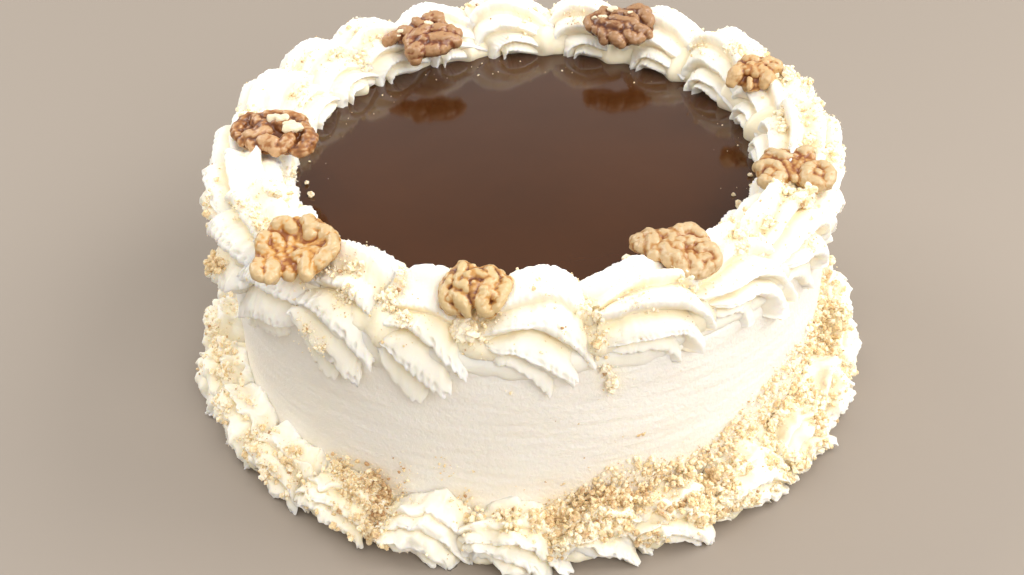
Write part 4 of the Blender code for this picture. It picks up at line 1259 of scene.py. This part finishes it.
def climb(values, top):
    count = values["count"]
    azimuth = crumbDraw.uniform(*values["azimuth"], count)
    top = np.interp(azimuth, *np.array(top).T) * mm
    height = values["from"] + (top - values["from"]) * crumbDraw.uniform(0, 1, count) ** 1.3
    starts = polar(0.19, np.radians(azimuth), height + 0.02)
    aims = -polar(1.0, np.radians(azimuth), 0.3)
    addCrumbs(starts, aims, crumbSizes(count, *values["sizes"]), values["tone"], values["pile"])


drift(footDrift)
climb(footDrift["climb"], footDrift["top"])

# Loose clumps as (azimuth, slope, spread, count, tone) on the ring, and a light dusting all round. One clump at
# the front left of the foot is brown
footCrumbs = {
    "radius": 0.130,
    "height": 0.004,
    "slopeSpread": 20,
    "slopes": (5, 110),
    "sizes": (0.0006, 0.0030),
    "lighter": 0.15,
    "pile": 0.0016,
    "dust": {"count": 420, "slopes": (5, 105), "sizes": (0.0005, 0.0024, 3.0), "tone": 0.35},
    "clumps": (
        (-117, 40, 6, 150, 0.5), (-131, 35, 5, 60, 0.2), (-141, 50, 5, 60, 0.3), (-152, 45, 5, 70, 0.25),
        (-165, 60, 6, 70, 0.25), (-178, 55, 6, 60, 0.2), (-100, 80, 4, 40, 0.3), (-93, 75, 4, 50, 0.3),
        (166, 55, 7, 60, 0.25), (148, 45, 7, 60, 0.25), (128, 50, 8, 70, 0.25), (108, 50, 8, 70, 0.25),
        (86, 45, 8, 80, 0.25), (64, 50, 8, 80, 0.25), (42, 50, 8, 90, 0.25),
    ),
}
topCrumbs = {
    "radius": 0.112,
    "height": 0.086,
    "slopeSpread": 16,
    "slopes": (5, 120),
    "sizes": (0.0004, 0.0026, 3.0),
    "lighter": 0.2,
    "pile": 0.0008,
    "dust": {"count": 900, "slopes": (15, 125), "sizes": (0.0003, 0.0014, 3.0), "tone": 0.15},
    "clumps": (
        (-97.5, 62, 4, 90, 0.35), (-79.5, 30, 2.6, 60, 0.45), (-113, 88, 3.5, 50, 0.2), (-62, 75, 5, 60, 0.25),
        (-45, 85, 6, 90, 0.25), (-30, 80, 6, 110, 0.25), (-15, 70, 7, 110, 0.25), (0, 70, 7, 110, 0.25),
        (14, 60, 6, 110, 0.25), (28, 60, 5, 90, 0.25), (45, 65, 5, 60, 0.25), (62, 60, 5, 60, 0.25),
        (84, 60, 5, 70, 0.2), (100, 70, 6, 80, 0.2), (131, 85, 6, 60, 0.25), (150, 85, 6, 60, 0.3),
        (173, 80, 5, 60, 0.25), (-163, 20, 3.5, 60, 0.45), (-150, 90, 5, 60, 0.3), (-127, 90, 5, 60, 0.25),
    ),
}


def crumbsOnRing(ring):
    for azimuth, slope, spread, count, tone in ring["clumps"]:
        azimuths = crumbDraw.normal(azimuth, 0.45 * spread, count)
        slopes = np.clip(crumbDraw.normal(slope, ring["slopeSpread"], count), *ring["slopes"])
        starts, aims = aroundRing(azimuths, slopes, ring)
        addCrumbs(starts, aims, crumbSizes(count, *ring["sizes"]), tone - ring["lighter"], ring["pile"])
    dust = ring["dust"]
    azimuths = crumbDraw.uniform(-180, 180, dust["count"])
    starts, aims = aroundRing(azimuths, crumbDraw.uniform(*dust["slopes"], dust["count"]), ring)
    addCrumbs(starts, aims, crumbSizes(dust["count"], *dust["sizes"]), dust["tone"])


crumbsOnRing(footCrumbs)
crumbsOnRing(topCrumbs)

# Clumps where the photo shows them: pixel, spread in pixels, count, tone, largest size
photoSmallest, photoPile = 0.0006, 0.0016
photoClumps = (
    (466, 330, 8, 220, 0, 0.0044), (472, 322, 5, 60, 0.25, 0.0026), (612, 382, 5, 45, -0.05, 0.0036),
    (606, 368, 4, 36, -0.05, 0.003), (598, 316, 6, 70, 0, 0.0029), (390, 300, 9, 70, -0.1, 0.0026),
    (404, 318, 6, 50, -0.1, 0.0022), (345, 296, 12, 60, -0.1, 0.0022), (320, 345, 10, 24, 0, 0.0019),
    (216, 264, 8, 110, 0.55, 0.0034), (355, 268, 8, 60, 0, 0.0026), (292, 175, 10, 45, -0.1, 0.0022),
    (262, 225, 9, 45, 0, 0.0019), (252, 214, 7, 30, 0, 0.0018), (240, 205, 9, 24, 0.1, 0.0015),
    (275, 240, 5, 24, -0.1, 0.002), (306, 330, 12, 30, 0.1, 0.0015), (740, 232, 7, 60, -0.1, 0.0029),
    (768, 225, 6, 50, -0.1, 0.0029), (787, 190, 7, 60, -0.1, 0.0031), (805, 205, 6, 50, -0.1, 0.0029),
    (832, 150, 6, 60, -0.1, 0.0029), (812, 140, 7, 60, -0.1, 0.0029), (782, 128, 6, 40, -0.1, 0.0026),
    (780, 115, 5, 30, -0.1, 0.0026), (790, 75, 5, 50, -0.05, 0.0031), (700, 262, 10, 30, 0, 0.0015),
    (742, 245, 8, 40, -0.1, 0.0022), (810, 245, 8, 24, 0.05, 0.0015), (640, 300, 16, 30, 0.05, 0.0015),
    (545, 290, 14, 12, 0.2, 0.0019), (585, 305, 7, 30, -0.05, 0.0022), (560, 340, 12, 8, 0.1, 0.0014),
    (340, 55, 9, 50, -0.05, 0.0024), (362, 62, 8, 40, -0.05, 0.0024), (300, 95, 10, 40, -0.05, 0.002),
    (735, 48, 8, 50, 0, 0.0026), (700, 45, 10, 30, 0, 0.002), (520, 20, 18, 30, 0, 0.0019),
    (575, 18, 12, 24, 0, 0.0019), (265, 470, 9, 60, 0.2, 0.0029), (252, 440, 12, 60, 0.15, 0.0027),
    (225, 375, 9, 60, 0.12, 0.003), (217, 330, 8, 40, -0.08, 0.0026), (290, 455, 9, 50, 0.2, 0.0029),
    (375, 482, 11, 210, 0.75, 0.0022), (383, 498, 8, 240, 1, 0.0022), (352, 485, 12, 180, 0.45, 0.0024),
    (378, 514, 7, 220, 1, 0.0022), (371, 530, 8, 100, 0.65, 0.0026), (342, 468, 12, 120, 0.3, 0.0024),
    (402, 484, 10, 16, 0.3, 0.0018), (560, 510, 9, 90, 0.25, 0.0044), (535, 520, 9, 60, 0.2, 0.0034),
    (510, 520, 12, 40, 0.25, 0.0024), (465, 500, 14, 30, 0.3, 0.002), (446, 470, 12, 12, 0.5, 0.0014),
    (405, 466, 6, 8, 0.9, 0.0014),
)


def throughPhoto(across, down, values):
    # Rays from the camera through points of the photo
    right, up, back = (np.array(axis) for axis in photoAxes(values))
    wide, tall = values["photoSize"]
    away = (across - wide / 2)[:, None] * right - (down - tall / 2)[:, None] * up - values["focalPixels"] * back
    start = np.repeat(np.array([values["place"]]), len(away), 0)
    away /= np.linalg.norm(away, axis=1)[:, None]
    return start + 0.2 * away, away


for across, down, spread, count, tone, largest in photoClumps:
    pixels = [crumbDraw.normal(middle, 0.5 * spread, count) for middle in (across, down)]
    starts, aims = throughPhoto(*pixels, view)
    addCrumbs(starts, aims, crumbSizes(count, photoSmallest, largest), tone, photoPile)

# Nut meal: the finest bits, thickest where the larger ones lie
mealForm = {
    "count": 17000, "lift": 0.004, "strays": 0.0016, "sizes": (0.0003, 0.0009, 1.5), "lighter": 0.1, "toneSpread": 0.2,
}
bigSpots, bigNormals, bigTones = (np.concatenate([place[field] for place in crumbPlaces]) for field in (0, 1, 3))
chosen = crumbDraw.integers(0, len(bigSpots), mealForm["count"])
starts = bigSpots[chosen] + mealForm["lift"] * bigNormals[chosen]
starts = starts + mealForm["strays"] * crumbDraw.normal(size=(mealForm["count"], 3))
mealSpots, mealNormals = landOnCream(starts, -bigNormals[chosen])
mealSizes = crumbSizes(len(mealSpots), *mealForm["sizes"])
mealTones = bigTones[chosen][: len(mealSpots)] - mealForm["lighter"]
mealTones = mealTones + mealForm["toneSpread"] * crumbDraw.normal(size=len(mealSpots))
mealTones = np.clip(mealTones, *crumbRules["tones"])

nutWarmthForm = {"low": (-0.16, -0.16, -0.02), "span": (0.32, 0.32, 0.16), "cell": 0.003, "strength": 0.35}


def warmthNearNut(points, spots, form):
    # How thick the nut lies near each point, from 0 to 1: there the cream turns warmer
    low, cell = np.array(form["low"]), form["cell"]
    shape = np.ceil(np.array(form["span"]) / cell).astype(int)
    index = np.clip(((spots - low) / cell).astype(int), 1, shape - 2)
    thick = np.bincount(np.ravel_multi_index(index.T, shape), minlength=int(shape.prod())).reshape(shape).astype(float)
    for axis in range(3):
        thick = 0.5 * thick + 0.25 * (np.roll(thick, 1, axis) + np.roll(thick, -1, axis))
    at = (points - low) / cell - 0.5
    base = np.clip(np.floor(at).astype(int), 0, shape - 2)
    part = np.clip(at - base, 0.0, 1.0)
    total = np.zeros(len(points))
    for corner in np.ndindex(2, 2, 2):
        weight = np.prod(np.where(corner, part, 1 - part), axis=1)
        total += weight * thick[tuple((base + corner).T)]
    return 1 - np.exp(-form["strength"] * total)


allSpots = np.concatenate([bigSpots, mealSpots])
# The hollow mask: painted shade from the shells' hollows, a little painted shade over all the foot, and warmer cream
# near the nut bits
for piece, points, tones, most in (
    (topBorder, topPoints, 0.9 * topPaintedShade, 0.5),
    (footBorder, footPoints, 0.15 + 0.75 * footPaintedShade, 0.6),
    (cakeSidePiece, sidePoints, np.zeros(len(sidePoints)), 0.5),
):
    storeMask(piece, "hollow", tones + most * warmthNearNut(points, allSpots, nutWarmthForm))

# A few bits on the glaze near its edge: azimuth, distance from the axis and size in millimetres
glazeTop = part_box("glaze_disc")[1].z
glazeBits = (
    (-63, 82, 4), (-24, 92, 4.2), (-14, 94, 2.6), (-19, 88, 1.6), (-30, 90, 1.4), (-9, 93, 2.2), (-131, 92, 2.4),
    (-140, 92, 2.6), (-150, 93, 2), (-158, 92, 1.6), (-166, 90, 2.6), (-172, 91, 2.2), (-118, 91, 3.4),
    (-121, 90, 2.2), (-110, 92, 1.4), (-145, 89, 1.4),
)
glazeDust = {"count": 60, "radius": 0.093, "inner": 0.86, "sizes": (0.0003, 0.0011), "tone": 0.1}


def onGlaze(angle, radius, sizes):
    spots = polar(radius, angle, glazeTop)
    normals = np.repeat([[0, 0, 1.0]], len(spots), 0)
    crumbPlaces.append((spots, normals, sizes, np.full(len(spots), glazeDust["tone"])))


bitAzimuth, bitRadius, bitSize = np.array(glazeBits).T
onGlaze(np.radians(bitAzimuth), bitRadius * mm, bitSize * mm)
angle = crumbDraw.uniform(-math.pi, math.pi, glazeDust["count"])
radius = glazeDust["radius"] * crumbDraw.uniform(glazeDust["inner"], 1.0, glazeDust["count"])
onGlaze(angle, radius, crumbSizes(glazeDust["count"], *glazeDust["sizes"]))

crumbFields = [np.concatenate([place[field] for place in crumbPlaces]) for field in range(4)]
mealFields = (mealSpots, mealNormals, mealSizes, mealTones)
coarse, small = crumbFields[2] >= crumbRules["coarse"], crumbFields[2] < crumbRules["fine"]
choppedNut = crumbMaterial(crumbLook)
for name, subdivisions, fields in (
    ("choppedNutCoarse", 2, [field[coarse] for field in crumbFields]),
    ("choppedNutFine", 1, [field[~coarse & ~small] for field in crumbFields]),
    ("nutMeal", 0, [np.concatenate([field[small], meal]) for field, meal in zip(crumbFields, mealFields)]),
):
    form = crumbForm(subdivisions)
    crumbPoints, crumbFaces = scatter(*fields[:3], form, crumbDraw, crumbRules)
    crumbs = meshPiece(name, crumbPoints, crumbFaces, choppedNut)
    crumbs.data.shade_flat()
    storeMask(crumbs, "depth", np.repeat(fields[3], len(form[0])))
    dressNode(crumbs, [])
    print(name + ":", len(fields[0]), "bits,", len(crumbFaces), "triangles")

stageLook = {
    "floorColor": (0.300, 0.254, 0.210),
    "floorRoughness": 0.6,
    "floorSize": 6.0,
    "floorDrop": 0.0002,
    "worldColor": (1.0, 0.98, 0.95),
    "horizonStrength": 0.66,
    "overheadStrength": 1.08,
    "dimBehind": 0.42,
}


def paleFloor(values):
    half = 0.5 * values["floorSize"]
    material, _, _ = principled("paleFloor", {
        "Base Color": opaque(values["floorColor"]), "Roughness": values["floorRoughness"],
    })
    corners = [(-half, -half, 0), (half, -half, 0), (half, half, 0), (-half, half, 0)]
    floor = meshPiece("paleFloor", corners, [(0, 1, 2, 3)], material)
    floor.location.z = -values["floorDrop"]


def softWorld(values):
    # Brighter overhead than at the horizon, with a dimmer band high behind the cake, which the glaze mirrors
    world = bpy.data.worlds.new("softStudio")
    bpy.context.scene.world = world
    world.use_nodes = True
    tree = world.node_tree
    background = tree.nodes["Background"]
    background.inputs["Color"].default_value = opaque(values["worldColor"])
    split = addNode(tree, "SeparateXYZ", {"Vector": addNode(tree, "TexCoord", {})["Generated"]})
    strength = remap(tree, split["Z"], 0.35, 0.95, values["horizonStrength"], values["overheadStrength"])
    band = mathStep(tree, "MULTIPLY", remap(tree, split["Z"], 0.44, 0.57), remap(tree, split["Z"], 0.86, 0.72))
    band = mathStep(tree, "MULTIPLY", band, remap(tree, split["Y"], 0.15, 0.5))
    dim = remap(tree, band, 0.0, 1.0, 1.0, values["dimBehind"])
    tree.links.new(mathStep(tree, "MULTIPLY", strength, dim), background.inputs["Strength"])


paleFloor(stageLook)
softWorld(stageLook)

softLights = {
    "windowRight": {"place": (1.02, 0.13, 0.96), "size": (0.9, 0.9), "power": 13.8, "color": (1.0, 0.99, 0.98)},
    "windowFrontRight": {"place": (0.72, -1.08, 1.02), "size": (0.9, 0.7), "power": 12.0, "color": (1.0, 0.99, 0.98)},
    "windowBackLeft": {"place": (-1.10, 0.66, 1.10), "size": (1.0, 0.8), "power": 12.5, "color": (1.0, 0.985, 0.96)},
}
lightAim = (0, 0, 0.06)

for name, values in softLights.items():
    data = bpy.data.lights.new(name, "AREA")
    data.shape = "RECTANGLE"
    data.size, data.size_y = values["size"]
    data.energy = values["power"]
    data.color = values["color"]
    light = newObject(name, data)
    light.location = values["place"]
    light.rotation_mode = "QUATERNION"
    light.rotation_quaternion = (Vector(lightAim) - Vector(values["place"])).to_track_quat("-Z", "Y")
bpy.context.scene.view_settings.view_transform = "Standard"
print("light set")
